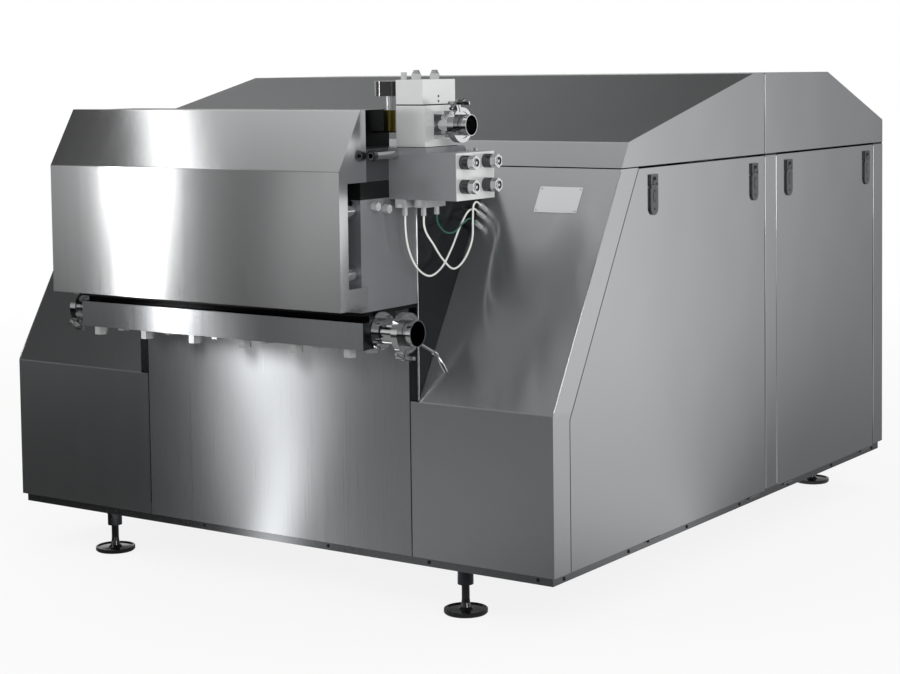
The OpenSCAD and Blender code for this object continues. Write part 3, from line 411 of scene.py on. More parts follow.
SIDES, ENDS = ("left", "right"), ("front", "rear")
NODE_FINISH = {
    "sheet": ("left_front_panel", "rear_panel", "front_lid", "rear_lid"),
    "front": ("front_panel",),
    "wing": ("right_front_panel",),
    "nose": ("nose_cover",),
    "door": tuple(f"door_{s}_{e}" for s in SIDES for e in ENDS),
    "post": ("frame_posts",),
    "hood": ("hood",),
    "manifold": ("suction_manifold",),
    "block": ("pump_block",),
    "valve": ("valve_body", "end_cover"),
    "outlet": ("outlet_block", "outlet_cap"),
    "turned": (
        "spacer_studs", "front_caps", "suction_port", "blind_port", "pipe_clamps",
        "discharge_port", "gauge_stub", "suction_valves", "discharge_valves",
        *(f"plunger_{i}" for i in range(1, 6)),
    ),
    "fitting": ("head_fittings", "slope_fittings", "manifold_bolts"),
    "nut": ("head_nuts",),
    "cover": ("top_cover",),
    "base": ("base_frame",),
    "latch": tuple(f"latch_{s}_{e}" for s in SIDES for e in ENDS),
    "foot": tuple(f"foot_{e}_{s}" for s in SIDES for e in ENDS),
    "knob": ("regulator_knob",),
    "brass": ("regulator",),
    "tube": ("hose_front", "hose_middle"),
    "green": ("hose_green",),
    "iron": ("motor_pulley", "driven_pulley"),
    "paint": ("crankcase", "motor"),
    "rubber": ("drive_belt", "plunger_seals"),
    "alloy": ("valve_seat", "valve_plug"),
}


# Points nearer than this are one point, and edges sharper than this stay sharp
SAME_POINT, SHARP = 1e-7, math.radians(32)


def finish_piece(name, bm, finish, body):
    """Turns a bmesh into a piece that rides on a body."""
    bmesh.ops.remove_doubles(bm, verts=bm.verts, dist=SAME_POINT)
    bmesh.ops.recalc_face_normals(bm, faces=bm.faces)
    mesh = bpy.data.meshes.new(name)
    bm.to_mesh(mesh)
    bm.free()
    mesh.shade_smooth()
    mesh.set_sharp_from_angle(angle=SHARP)
    mesh.materials.append(FINISH[finish])
    piece = bpy.data.objects.new(name, mesh)
    bpy.context.scene.collection.objects.link(piece)
    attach(piece, body)


def basis(origin, right, up):
    """A frame with its own right, up and outward directions."""
    u, v = Vector(right).normalized(), Vector(up).normalized()
    w = u.cross(v)
    return Matrix.Translation(origin) @ Matrix((u, v, w)).transposed().to_4x4()


def lathe(bm, profile, place, steps=28, closed=False, squeeze=1.0):
    """Revolves (radius, height) points round the frame's outward direction."""
    rings = []
    for radius, height in profile:
        if radius < SAME_POINT:
            rings.append([bm.verts.new(place @ Vector((0, 0, height)))])
            continue
        ring = []
        for i in range(steps):
            a = 2 * math.pi * i / steps
            point = Vector((squeeze * radius * math.cos(a), radius * math.sin(a), height))
            ring.append(bm.verts.new(place @ point))
        rings.append(ring)
    for low, high in zip(rings, rings[1:] + (rings[:1] if closed else [])):
        for i in range(steps):
            j = (i + 1) % steps
            a, b = low[i % len(low)], low[j % len(low)]
            c, d = high[j % len(high)], high[i % len(high)]
            bm.faces.new(list(dict.fromkeys((a, b, c, d))))


def slab(bm, outline, place, low, high):
    """A plate of the outline's shape between two heights of the frame."""
    floor = [bm.verts.new(place @ Vector((x, y, low))) for x, y in outline]
    roof = [bm.verts.new(place @ Vector((x, y, high))) for x, y in outline]
    bm.faces.new(floor[::-1])
    bm.faces.new(roof)
    for i in range(len(outline)):
        j = (i + 1) % len(outline)
        bm.faces.new((floor[i], floor[j], roof[j], roof[i]))


def rounded(width, height, radius, steps=5):
    """Corner points of a rectangle with rounded corners."""
    points = []
    for quarter, (sx, sy) in enumerate(((1, 1), (-1, 1), (-1, -1), (1, -1))):
        for i in range(steps + 1):
            a = math.pi / 2 * (quarter + i / steps)
            x, y = sx * (width / 2 - radius), sy * (height / 2 - radius)
            points.append((x + radius * math.cos(a), y + radius * math.sin(a)))
    return points


# Tube routes in cabinet millimetres, between the fittings under the head and those on the slope
FITTING_Z, LEAD, GREEN_LEAD = 997.0, 21.0, 9.0
FRONT_FIT_X, REAR_FIT_X, SLOPE_FIT_X, FIT_L = BLOCK_R + 32, BLOCK_R + 77, BLOCK_R + 25, 26.0
INTO_SLOPE = Vector((0, math.sin(SLOPE_ANGLE), -math.cos(SLOPE_ANGLE)))
# Points on the curve between two points of a route, and how round the tube's section is
TUBE_STEPS, TUBE_ROUND = 8, 3


def on_slope(x, rise):
    """A point on the wing's slope, this far above its fold."""
    return Vector((x, SLOPE_RUN * rise / (SEAM_Z - FOLD_Z), FOLD_Z + rise))


def tube_route(start, lead, free, end, lead_in):
    """Points straight down from a fitting, freely through the air and into a slope fitting."""
    first, last = Vector(start), on_slope(SLOPE_FIT_X, end) - FIT_L * INTO_SLOPE
    leaves, arrives = first - Vector((0, 0, lead)), last - lead_in * INTO_SLOPE
    return [first, leaves, *map(Vector, free), arrives, last]


def smooth_path(points, steps):
    """Points on a smooth curve through the route, whose tangents are weighted by the chords."""
    chords = [b - a for a, b in zip(points, points[1:])]
    tangents = [chords[0].normalized()]
    for before, after in zip(chords, chords[1:]):
        share = before.length / (before.length + after.length)
        tangents.append(before.normalized().lerp(after.normalized(), share))
    tangents.append(chords[-1].normalized())
    path = []
    for i, chord in enumerate(chords):
        a, b = points[i], points[i + 1]
        ta, tb = tangents[i] * chord.length, tangents[i + 1] * chord.length
        for k in range(steps):
            t = k / steps
            path.append(
                a * (2 * t**3 - 3 * t**2 + 1) + ta * (t**3 - 2 * t**2 + t)
                + b * (3 * t**2 - 2 * t**3) + tb * (t**3 - t**2)
            )
    return [at(*p) for p in [*path, points[-1]]]


ROUTES = {
    "hose_front": tube_route(
        (FRONT_FIT_X, -90, FITTING_Z), LEAD,
        ((543, -75, 914), (542, -35, 862), (541, 16, 841), (540, 63, 855), (539, 112, 901),
         (538, 158, 959), (538, 195, 990)), 439, 20),
    "hose_middle": tube_route(
        (REAR_FIT_X, -76, FITTING_Z), LEAD,
        ((586, -29, 921), (579, 15, 885), (572, 73, 855), (567, 104, 859), (560, 174, 924),
         (553, 187, 969), (546, 202, 1003)), 457, 17),
    "hose_green": tube_route(
        (REAR_FIT_X, -22, FITTING_Z), GREEN_LEAD,
        ((580, 15, 956), (567, 80, 944), (553, 142, 961)), 415, 17),
}


class HOMOGENIZER_OT_stage(Operator):
    """Makes the floor, the studio light and the camera"""

    bl_idname = "homogenizer.stage"
    bl_label = "Stage"

    def execute(self, context):
        studio = context.scene.homogenizer_studio
        make_camera(studio)
        make_floor(studio)
        make_world(studio)
        make_lamps()
        context.scene.view_settings.view_transform = "Standard"
        return {"FINISHED"}


# Camera in cabinet millimetres, with the angles of the photograph's view and the pixel on its axis
CAMERA_PLACE = (3307.7, -3872.9, 1357.0)
CAMERA_TURN, CAMERA_PITCH, CAMERA_ROLL = (math.radians(a) for a in (34.817, 3.754, -0.749))
IMAGE_W, IMAGE_H, CENTRE_PX = 900.0, 674.0, (450.0, 193.0)
SENSOR_W, CLIP_END = 36.0, 200.0


def make_camera(studio):
    forward = Vector((
        -math.sin(CAMERA_TURN) * math.cos(CAMERA_PITCH),
        math.cos(CAMERA_TURN) * math.cos(CAMERA_PITCH),
        -math.sin(CAMERA_PITCH),
    ))
    level = Vector((math.cos(CAMERA_TURN), math.sin(CAMERA_TURN), 0))
    down = forward.cross(level)
    right = math.cos(CAMERA_ROLL) * level - math.sin(CAMERA_ROLL) * down
    down = math.sin(CAMERA_ROLL) * level + math.cos(CAMERA_ROLL) * down
    data = bpy.data.cameras.new("camera")
    data.lens = studio.lens
    data.sensor_width = SENSOR_W
    data.shift_x = (IMAGE_W / 2 - CENTRE_PX[0]) / IMAGE_W
    data.shift_y = -(IMAGE_H / 2 - CENTRE_PX[1]) / IMAGE_W
    data.clip_end = CLIP_END
    camera = bpy.data.objects.new("camera", data)
    bpy.context.scene.collection.objects.link(camera)
    turn = Matrix((right, -down, -forward)).transposed().to_4x4()
    camera.matrix_world = Matrix.Translation(at(*CAMERA_PLACE)) @ turn
    bpy.context.scene.camera = camera


FLOOR_HALF = 60.0
WHITE = (1, 1, 1, 1)

# What steel mirrors of the studio, in ramps of two places and the brightness or share at each.
# The wall in front of the machine, by direction: its left and right parts and the step between them
WALL_LEFT, WALL_RIGHT = (-0.72, -0.634, 0.42, 0.11), (-0.6, -0.57, 0.7, 0.48)
WALL_STEP = (-0.633, -0.623, 0.0, 1.0)
# The floor in front: dim near the machine, by distance from a slanting line, by X and by reach
FRONT_FOOT, LINE_WAY, LINE_OFF = (0, -1.15, 0), (0.77, -0.63, 0), 0.533
NEAR_LINE, NEAR_X, NEAR_REACH = (0.4, 0.85, 0.015, 0.26), (0.2, 0.9, 1.0, 0.2), (2.4, 3.6, 1.0, 0.1)
FAR_REACH = (6.0, 14.0, 0.0, 1.0)
# The lamp's own streak on that floor, along the line
STREAK_WIDTH, STREAK_REACH = (0.01, 0.085, 3.0, 0.0), (2.6, 3.4, 1.0, 0.0)
# The floor beside the machine, by direction from its side, and where the front gives way to it
SIDE_FOOT, SIDE_FRONT, SIDE_REAR = (0.9, -0.1, 0), (0.33, 0.52, 0.3, 0.95), (-0.2, 0.1, 0.35, 0.0)
SIDE_REACH, FRONT_TO_SIDE = (2.0, 5.0, 0.7, 1.0), (-1.2, 0.4, 0.0, 1.0)
# Share of plain white that the camera sees in the floor, near the object and far from it
CAMERA_WHITE = (2.5, 6.0, 0.86, 1.0)
# The wall behind, its paler edges and middle, and the ceiling in front and behind, all by direction
BEHIND, UPWARD = (-0.1, 0.3, 0.0, 1.0), (0.12, 0.33, 0.0, 1.0)
REAR_EDGES, REAR_MIDDLE = (0.4, 0.49, 0.4, 1.0), (0.1, 0.28, 0.35, 0.0)
OVER_LEFT, OVER_RIGHT = (-0.69, -0.6, 0.06, 0.32), (-0.6, -0.53, 1.0, 0.7)
CEILING_REAR = (-0.66, -0.46, 0.25, 0.08)


def mirrored(tree, rays):
    """One for a ray that a shiny or clear surface sends."""
    return calc(tree, "MAXIMUM", rays["Is Glossy Ray"], rays["Is Transmission Ray"])


def front_wall(tree, way_x):
    """What steel sees of the wall in front: paler at the left and right than between."""
    left, right = ramp(tree, way_x, *WALL_LEFT), ramp(tree, way_x, *WALL_RIGHT)
    return blend(tree, ramp(tree, way_x, *WALL_STEP), left, right)


def way_from(tree, foot, places):
    """The X part of the direction from a point on the floor."""
    offset = vector_math(tree, "SUBTRACT", places, foot)[0]
    return part_of(tree, vector_math(tree, "NORMALIZE", offset)[0], "X")


def front_floor(tree, coordinates, reach):
    """What steel sees of the floor in front: dim near the machine, with one bright streak."""
    off_line = vector_math(tree, "DOT_PRODUCT", coordinates, LINE_WAY)["Value"]
    near = calc(
        tree, "MULTIPLY", ramp(tree, off_line, *NEAR_LINE),
        ramp(tree, part_of(tree, coordinates, "X"), *NEAR_X),
    )
    near = calc(tree, "MULTIPLY", near, ramp(tree, reach, *NEAR_REACH))
    far = front_wall(tree, way_from(tree, FRONT_FOOT, coordinates))
    front = blend(tree, ramp(tree, reach, *FAR_REACH), near, far)
    off_streak = calc(tree, "ABSOLUTE", calc(tree, "SUBTRACT", off_line, LINE_OFF))
    across, along = ramp(tree, off_streak, *STREAK_WIDTH), ramp(tree, reach, *STREAK_REACH)
    return calc(tree, "ADD", front, calc(tree, "MULTIPLY", across, along))


def side_floor(tree, coordinates, reach):
    """What steel sees of the floor beside the machine, the same on both sides."""
    place = add(tree, "ShaderNodeSeparateXYZ", Vector=coordinates).outputs
    outward = add(tree, "ShaderNodeCombineXYZ", X=calc(tree, "ABSOLUTE", place["X"]), Y=place["Y"])
    side_x = way_from(tree, SIDE_FOOT, outward.outputs[0])
    beside = calc(tree, "ADD", ramp(tree, side_x, *SIDE_FRONT), ramp(tree, side_x, *SIDE_REAR))
    return calc(tree, "MULTIPLY", beside, ramp(tree, reach, *SIDE_REACH))


def make_floor(studio):
    """A pale matt floor, which steel mirrors dim in front of the machine and bright beside it."""
    material, tree, output, coordinates = blank("pale studio floor")
    reach = vector_math(tree, "LENGTH", coordinates)["Value"]
    glow = blend(
        tree, ramp(tree, part_of(tree, coordinates, "Y"), *FRONT_TO_SIDE),
        front_floor(tree, coordinates, reach), side_floor(tree, coordinates, reach),
    )
    matt = add(tree, "ShaderNodeBsdfDiffuse", Color=shade(studio.floor, 1.0)).outputs[0]
    sheen = add(tree, "ShaderNodeEmission", Color=WHITE, Strength=glow).outputs[0]
    white = add(tree, "ShaderNodeEmission", Color=WHITE, Strength=1.0).outputs[0]
    rays = add(tree, "ShaderNodeLightPath").outputs
    share = calc(tree, "MULTIPLY", rays["Is Camera Ray"], ramp(tree, reach, *CAMERA_WHITE))
    plain = add(tree, "ShaderNodeMixShader", _0=share, _1=matt, _2=white).outputs[0]
    mixed = add(tree, "ShaderNodeMixShader", _0=mirrored(tree, rays), _1=plain, _2=sheen).outputs[0]
    tree.links.new(mixed, output.inputs["Surface"])
    mesh = bpy.data.meshes.new("floor")
    h = FLOOR_HALF
    mesh.from_pydata([(-h, -h, 0), (h, -h, 0), (h, h, 0), (-h, h, 0)], [], [(0, 1, 2, 3)])
    mesh.materials.append(material)
    floor = bpy.data.objects.new("floor", mesh)
    bpy.context.scene.collection.objects.link(floor)


def make_world(studio):
    """A white wall round the studio, dimmer overhead, and an even light on matt things."""
    world = bpy.data.worlds.new("studio")
    bpy.context.scene.world = world
    world.use_nodes = True
    tree = world.node_tree
    tree.nodes.clear()
    output = add(tree, "ShaderNodeOutputWorld")
    direction = add(tree, "ShaderNodeTexCoord").outputs["Generated"]
    way = add(tree, "ShaderNodeSeparateXYZ", Vector=direction).outputs
    behind = ramp(tree, way["Y"], *BEHIND)
    aside = calc(tree, "ABSOLUTE", way["X"])
    rear_wall = calc(tree, "ADD", ramp(tree, aside, *REAR_EDGES), ramp(tree, aside, *REAR_MIDDLE))
    wall = blend(tree, behind, front_wall(tree, way["X"]), rear_wall)
    over_left, over_right = ramp(tree, way["X"], *OVER_LEFT), ramp(tree, way["X"], *OVER_RIGHT)
    overhead = calc(tree, "MULTIPLY", over_left, over_right)
    ceiling = blend(tree, behind, overhead, ramp(tree, way["X"], *CEILING_REAR))
    glow = blend(tree, ramp(tree, way["Z"], *UPWARD), wall, ceiling)
    rays = add(tree, "ShaderNodeLightPath").outputs
    matt, sheen, white = (
        add(tree, "ShaderNodeBackground", Color=WHITE, Strength=strength).outputs[0]
        for strength in (studio.room, glow, 1.0)
    )
    lit = add(tree, "ShaderNodeMixShader", _0=mirrored(tree, rays), _1=matt, _2=sheen).outputs[0]
    seen = add(tree, "ShaderNodeMixShader", _0=rays["Is Camera Ray"], _1=lit, _2=white).outputs[0]
    tree.links.new(seen, output.inputs["Surface"])


# Softboxes: name, place and aim in metres, direction of the height, width, height and brightness
LAMPS = (
    ("front_lamp", (-1.7, -2.78, 1.3), (0.0, -1.1, 0.8), (0, 0, 1), 0.14, 0.4, 52.0),
    ("front_strip", (-1.7, -2.78, 0.68), (0.0, -1.1, 0.7), (0, 0, 1), 0.13, 0.8, 4.0),
    ("right_key", (4.6, -2.9, 2.3), (0.5, -0.6, 0.8), (0, 0, 1), 1.6, 2.6, 6.0),
    ("ceiling", (-1.15, -1.15, 4.2), (-1.15, -1.15, 0.0), (0, 1, 0), 3.5, 3.4, 0.55),
    ("ceiling_strip", (-3.0, -2.1, 4.1), (-0.1, -1.1, 1.2), (0, 1, 0.3), 0.22, 3.0, 2.4),
)


def make_lamps():
    for name, place, aim, along, width, height, brightness in LAMPS:
        data = bpy.data.lights.new(name, "AREA")
        data.shape = "RECTANGLE"
        data.size, data.size_y = width, height
        data.energy = brightness * math.pi * width * height
        lamp = bpy.data.objects.new(name, data)
        bpy.context.scene.collection.objects.link(lamp)
        back = Vector(place) - Vector(aim)
        side = Vector(along).cross(back)
        lamp.matrix_world = basis(place, side, back.cross(side))
        lamp.visible_camera = False


class HOMOGENIZER_OT_tubes(Operator):
    """Lays the two white tubes and the green one between their fittings"""

    bl_idname = "homogenizer.tubes"
    bl_label = "Tubes"

    def execute(self, context):
        sizes = context.scene.homogenizer_sizes
        for node, route in ROUTES.items():
            green = node == "hose_green"
            radius = sizes.green_r if green else sizes.tube_r
            path = smooth_path(route, TUBE_STEPS)
            curve = bpy.data.curves.new(node.replace("hose", "tube"), "CURVE")
            curve.dimensions = "3D"
            curve.bevel_depth = radius
            curve.bevel_resolution = TUBE_ROUND
            curve.use_fill_caps = True
            line = curve.splines.new("POLY")
            line.points.add(len(path) - 1)
            for point, place in zip(line.points, path):
                point.co = (*place, 1.0)
            line.use_smooth = True
            curve.materials.append(FINISH["green" if green else "tube"])
            tube = bpy.data.objects.new(curve.name, curve)
            context.scene.collection.objects.link(tube)
            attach(tube, MACHINE)
            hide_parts(node)
        return {"FINISHED"}


class HOMOGENIZER_OT_finishes(Operator):
    """Gives every CAD node its finish"""

    bl_idname = "homogenizer.finishes"
    bl_label = "Finishes"

    def execute(self, context):
        for finish, nodes in NODE_FINISH.items():
            for node in nodes:
                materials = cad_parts[node].data.materials
                materials.clear()
                materials.append(FINISH[finish])
        return {"FINISHED"}


# Latches in cabinet millimetres: how far they stand proud, and the places of them and their details
LATCH_PROUD, LATCH_PLACES = 5.0, {"front": (491.0, 1068.0), "rear": (1292.0, 1854.0)}
DISH_Z, HOLE_Z, KEYHOLE_Z, TONGUE_Z, PIN_Z, EAR_Y = 1018.0, 985.0, 1062.0, 1052.5, 1046.0, 16.5

# Small details in metres, each sunk a little into its face. A profile is (radius, height) points
SUNK = -0.0004
# The dish's dome, with radii as shares of the dish, and the ring round it, painted black as shade
DISH_DOME = ((1.0, SUNK), (1.0, 0.0003), (0.8, 0.0012), (0.5, 0.0018), (0.0, 0.002))
RING_OUT, RING_IN, RING_H = 0.0012, 0.0004, 0.0005
PIN_END = ((0.0019, SUNK), (0.0019, 0.0004), (0.0010, 0.0009), (0.0, 0.0010))
# Width, height and corner radius
KEYHOLE, TONGUE = (0.016, 0.009, 0.001), (0.015, 0.0085, 0.001)
KEYHOLE_H, TONGUE_H = 0.0004, 0.0012
LATCH_HOLE_R, HOLE_H = 0.0032, 0.0003


def disc(radius, height):
    """The profile of a flat round plug."""
    return ((radius, SUNK), (radius, height), (0.0, height))


def latch_face(sign, y, z):
    """A frame on a latch's outer face, on the left or right side."""
    return basis(at(sign * (HALF_W + LATCH_PROUD), y, z), (0, sign, 0), (0, 0, 1))


def add_latch(parts, sizes, sign, y):
    """The details of one latch, put into the meshes of its door and its levers."""
    half_h = sizes.dish_h / 2
    narrow = sizes.dish_w / 2 / half_h
    dish = latch_face(sign, y, DISH_Z)
    dome = [(half_h * share, height) for share, height in DISH_DOME]
    lathe(parts["dish"], dome, dish, squeeze=narrow)
    outer, inner = half_h + RING_OUT, half_h - RING_IN
    ring = ((outer, SUNK), (outer, RING_H), (inner, RING_H), (inner, SUNK))
    lathe(parts["hole"], ring, dish, closed=True, squeeze=narrow)
    lathe(parts["hole"], disc(LATCH_HOLE_R, HOLE_H), latch_face(sign, y, HOLE_Z), steps=16)
    slab(parts["keyhole"], rounded(*KEYHOLE), latch_face(sign, y, KEYHOLE_Z), SUNK, KEYHOLE_H)
    slab(parts["tongue"], rounded(*TONGUE), latch_face(sign, y, TONGUE_Z), SUNK, TONGUE_H)
    for ear in (-EAR_Y, EAR_Y):
        lathe(parts["tongue"], PIN_END, latch_face(sign, y + ear, PIN_Z), steps=14)


# Detail, finish, the body it rides on and its slot; the hole and keyhole are black as painted shade
LATCH_PIECES = (
    ("dish", "latch", "latch", "dark_stainless"), ("hole", "hole", "latch", "black_knob"),
    ("keyhole", "hole", "door", "black_knob"), ("tongue", "latch", "door", "dark_stainless"),
)


class HOMOGENIZER_OT_latches(Operator):
    """Adds the finger dishes, holes, tongues and pin ends of the latches"""

    bl_idname = "homogenizer.latches"
    bl_label = "Latches"

    def execute(self, context):
        sizes = context.scene.homogenizer_sizes
        for side, sign in zip(SIDES, (-1, 1)):
            for end in ENDS:
                parts = {key: bmesh.new() for key, *_ in LATCH_PIECES}
                for y in LATCH_PLACES[end]:
                    add_latch(parts, sizes, sign, y)
                door = f"{side}_{end}"
                for key, finish, body, slot in LATCH_PIECES:
                    finish_piece(f"latch_{key}_{door}", parts[key], finish, f"{body}_{door}")
        return {"FINISHED"}


# The plate's middle on the slope in cabinet millimetres, and its corners and rivets in metres
PLATE_X, PLATE_RISE = 745.0, 487.0
PLATE_CORNER, RIVET_IN = 0.003, 0.006
RIVET = ((0.0022, 0.0005), (0.0022, 0.0013), (0.0012, 0.0019), (0.0, 0.0021))


class HOMOGENIZER_OT_plate(Operator):
    """Puts the bare plate with its four rivets on the right wing"""

    bl_idname = "homogenizer.plate"
    bl_label = "Plate"

    def execute(self, context):
        sizes = context.scene.homogenizer_sizes
        up_slope = (0, math.cos(SLOPE_ANGLE), math.sin(SLOPE_ANGLE))
        place = basis(at(*on_slope(PLATE_X, PLATE_RISE)), (1, 0, 0), up_slope)
        bm = bmesh.new()
        slab(bm, rounded(sizes.plate_w, sizes.plate_h, PLATE_CORNER), place, 0.0, sizes.plate_t)
        x, y = sizes.plate_w / 2 - RIVET_IN, sizes.plate_h / 2 - RIVET_IN
        for corner in ((-x, -y, 0), (-x, y, 0), (x, -y, 0), (x, y, 0)):
            lathe(bm, RIVET, place @ Matrix.Translation(corner), steps=12)
        finish_piece("bare_plate", bm, "turned", MACHINE)
        return {"FINISHED"}


def fastener_tree():
    """Geometry Nodes: a row of round or six-sided heads between two points."""
    tree = bpy.data.node_groups.new("Fastener row", "GeometryNodeTree")
    for name, kind in (
        ("Start", "Vector"), ("End", "Vector"), ("Count", "Int"), ("Sides", "Int"),
        ("Radius", "Float"), ("Top Radius", "Float"), ("Height", "Float"), ("Tilt", "Vector"),
        ("Material", "Material"),
    ):
        tree.interface.new_socket(name, in_out="INPUT", socket_type=f"NodeSocket{kind}")
    tree.interface.new_socket("Geometry", in_out="OUTPUT", socket_type="NodeSocketGeometry")
    given = add(tree, "NodeGroupInput").outputs
    row = add(
        tree, "GeometryNodeMeshLine", {"mode": "END_POINTS", "count_mode": "TOTAL"},
        Count=given["Count"], Start_Location=given["Start"], Offset=given["End"],
    )
    head = add(
        tree, "GeometryNodeMeshCone", {"fill_type": "NGON"}, Vertices=given["Sides"],
        Radius_Top=given["Top Radius"], Radius_Bottom=given["Radius"], Depth=given["Height"],
    )
    turn = add(tree, "FunctionNodeEulerToRotation", Euler=given["Tilt"])
    heads = add(
        tree, "GeometryNodeInstanceOnPoints", Points=row.outputs[0], Instance=head.outputs["Mesh"],
        Rotation=turn.outputs[0],
    )
    solid = add(tree, "GeometryNodeRealizeInstances", Geometry=heads.outputs[0])
    painted = add(
        tree, "GeometryNodeSetMaterial", Geometry=solid.outputs[0], Material=given["Material"]
    )
    add(tree, "NodeGroupOutput", Geometry=painted.outputs[0])
    return tree


def fastener_rows(name, tree, rows, finish, body):
    """Bakes rows of fasteners into one plain mesh that rides on a body."""
    bm = bmesh.new()
    for values in rows:
        holder = bpy.data.objects.new("row", bpy.data.meshes.new("row"))
        bpy.context.scene.collection.objects.link(holder)
        modifier = holder.modifiers.new("row", "NODES")
        modifier.node_group = tree
        for socket in tree.interface.items_tree:
            if socket.in_out == "INPUT":
                value = FINISH[finish] if socket.name == "Material" else values[socket.name]
                modifier[socket.identifier] = value
        graph = bpy.context.evaluated_depsgraph_get()
        mesh = bpy.data.meshes.new_from_object(holder.evaluated_get(graph))
        bm.from_mesh(mesh)
        bpy.data.objects.remove(holder)
        bpy.data.meshes.remove(mesh)
    finish_piece(name, bm, finish, body)


def row(start, end, count, radius, height, tilt, sides=16, top=0.8):
    """The values of one row of heads, whose ends are in cabinet millimetres."""
    return {
        "Start": at(*start), "End": at(*end), "Count": count, "Sides": sides, "Radius": radius,
        "Top Radius": radius * top, "Height": height, "Tilt": tilt,
    }


# Turns that point a fastener's head to the front, back, left, right and up
FACING = {
    "front": (math.pi / 2, 0, 0), "back": (-math.pi / 2, 0, 0), "left": (0, -math.pi / 2, 0),
    "right": (0, math.pi / 2, 0), "up": (0, 0, 0),
}
# Skirt screws in cabinet millimetres: how far in the skirt is, their heights and their rows' ends
SKIRT_IN, SKIRT_Z, SIDE_SKIRT_Z, CAB_D = 10.0, 129.0, 127.0, 1986.0
SKIRT_X, SKIRT_Y, SIDE_SCREWS = (212.0, 848.0), (60.0, 1926.0), 7
# The two bolts on the end cover: their places, and the size of their six-sided heads in metres
COVER_BOLT_X, COVER_BOLT_Y = (640, 668), 34
COVER_BOLT_R, COVER_BOLT_H, HEX_SIDES, HEX_TOP = 0.0065, 0.007, 6, 0.92


class HOMOGENIZER_OT_fasteners(Operator):
    """Sets the screws of the skirt and the small bolts of the head"""

    bl_idname = "homogenizer.fasteners"
    bl_label = "Fasteners"

    def execute(self, context):
        sizes = context.scene.homogenizer_sizes
        tree = fastener_tree()
        rows = []
        r, h = sizes.screw_r, sizes.screw_h
        for sign, facing in ((-1, "left"), (1, "right")):
            for y, way in ((SKIRT_IN, "front"), (CAB_D - SKIRT_IN, "back")):
                start, end = ((sign * x, y, SKIRT_Z) for x in SKIRT_X)
                rows.append(row(start, end, sizes.screws, r, h, FACING[way]))
            side = sign * (HALF_W - SKIRT_IN)
            start, end = ((side, y, SIDE_SKIRT_Z) for y in SKIRT_Y)
            rows.append(row(start, end, SIDE_SCREWS, r, h, FACING[facing]))
        fastener_rows("skirt_screws", tree, rows, "hole", MACHINE)
        start, end = ((x, COVER_BOLT_Y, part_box("end_cover")[1].z / MM) for x in COVER_BOLT_X)
        bolts = row(
            start, end, len(COVER_BOLT_X), COVER_BOLT_R, COVER_BOLT_H, FACING["up"], HEX_SIDES,
            HEX_TOP,
        )
        fastener_rows("cover_bolts", tree, [bolts], "turned", MACHINE)
        return {"FINISHED"}


# The nuts' places in metres: in from the valve body's two edges, and below and above its middle
NUT_IN, NUT_OFF = (0.027, -0.038), (-0.029, 0.028)
# Profiles in metres on a nut's face: its raised ring, the floor in it, painted black as shade, and
# the stud's end
NUT_RING = ((0.0105, -0.0005), (0.0105, 0.0012), (0.0085, 0.0018), (0.0085, -0.0005))
STUD_END = ((0.0048, 0.0), (0.0048, 0.0012), (0.0036, 0.0018), (0.0, 0.0018))
NUT_FLOOR_R, NUT_FLOOR_H = 0.0083, 0.0004
# The two small holes in the outlet cap and the six-sided boss below, in cabinet millimetres
CAP_HOLE_Y, CAP_HOLE_Z, CAP_HOLE_R = -34, (1282.0, 1270.0), 0.0030
BOSS, BOSS_HEX = (608, -54, 1211), ((0.009, 0.0), (0.009, 0.008), (0.0078, 0.0095), (0.0, 0.0095))
# The gauge stub's black ring
GAUGE_RING = (
    (0.0078, 0.0002), (0.0085, 0.0016), (0.0122, 0.0018), (0.0134, 0.0008), (0.0134, -0.0125),
    (0.0128, -0.0135), (0.0078, -0.0135),
)


class HOMOGENIZER_OT_head(Operator):
    """Adds the nut faces, the outlet's boss and small holes, and the dark ring of the gauge stub"""

    bl_idname = "homogenizer.head"
    bl_label = "Head"

    def execute(self, context):
        (low, high), face_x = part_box("valve_body"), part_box("head_nuts")[1].x
        middle = (low.z + high.z) / 2
        # The nuts' floors and the cap's two holes go into a black piece as painted shade
        rings, dark = bmesh.new(), bmesh.new()
        for y in (low.y + NUT_IN[0], high.y + NUT_IN[1]):
            for off in NUT_OFF:
                place = basis(Vector((face_x, y, middle + off)), (0, 1, 0), (0, 0, 1))
                lathe(rings, NUT_RING, place, steps=24, closed=True)
                lathe(dark, disc(NUT_FLOOR_R, NUT_FLOOR_H), place, steps=24)
                lathe(rings, STUD_END, place, steps=18)
        cap_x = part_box("outlet_cap")[1].x / MM
        for z in CAP_HOLE_Z:
            place = basis(at(cap_x, CAP_HOLE_Y, z), (0, 1, 0), (0, 0, 1))
            lathe(dark, disc(CAP_HOLE_R, HOLE_H), place, steps=14)
        lathe(rings, BOSS_HEX, basis(at(*BOSS), (1, 0, 0), (0, 0, 1)), steps=HEX_SIDES)
        finish_piece("nut_rings", rings, "turned", MACHINE)
        finish_piece("head_holes", dark, "hole", MACHINE)
        low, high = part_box("gauge_stub")
        ring = bmesh.new()
        front = Vector(((low.x + high.x) / 2, low.y, (low.z + high.z) / 2))
        lathe(ring, GAUGE_RING, basis(front, (1, 0, 0), (0, 0, 1)), steps=32, closed=True)
        finish_piece("gauge_ring", ring, "knob", MACHINE)
        return {"FINISHED"}


def spindle(bm, start, end, profile, steps=18):
    """Turns (radius, share of the way) points round the line between two cabinet points."""
    a, b = at(*start), at(*end)
    way = (b - a).normalized()
    right = way.orthogonal()
    reach = (b - a).length
    lathe(bm, [(r * MM, h * reach) for r, h in profile], basis(a, right, way.cross(right)), steps)


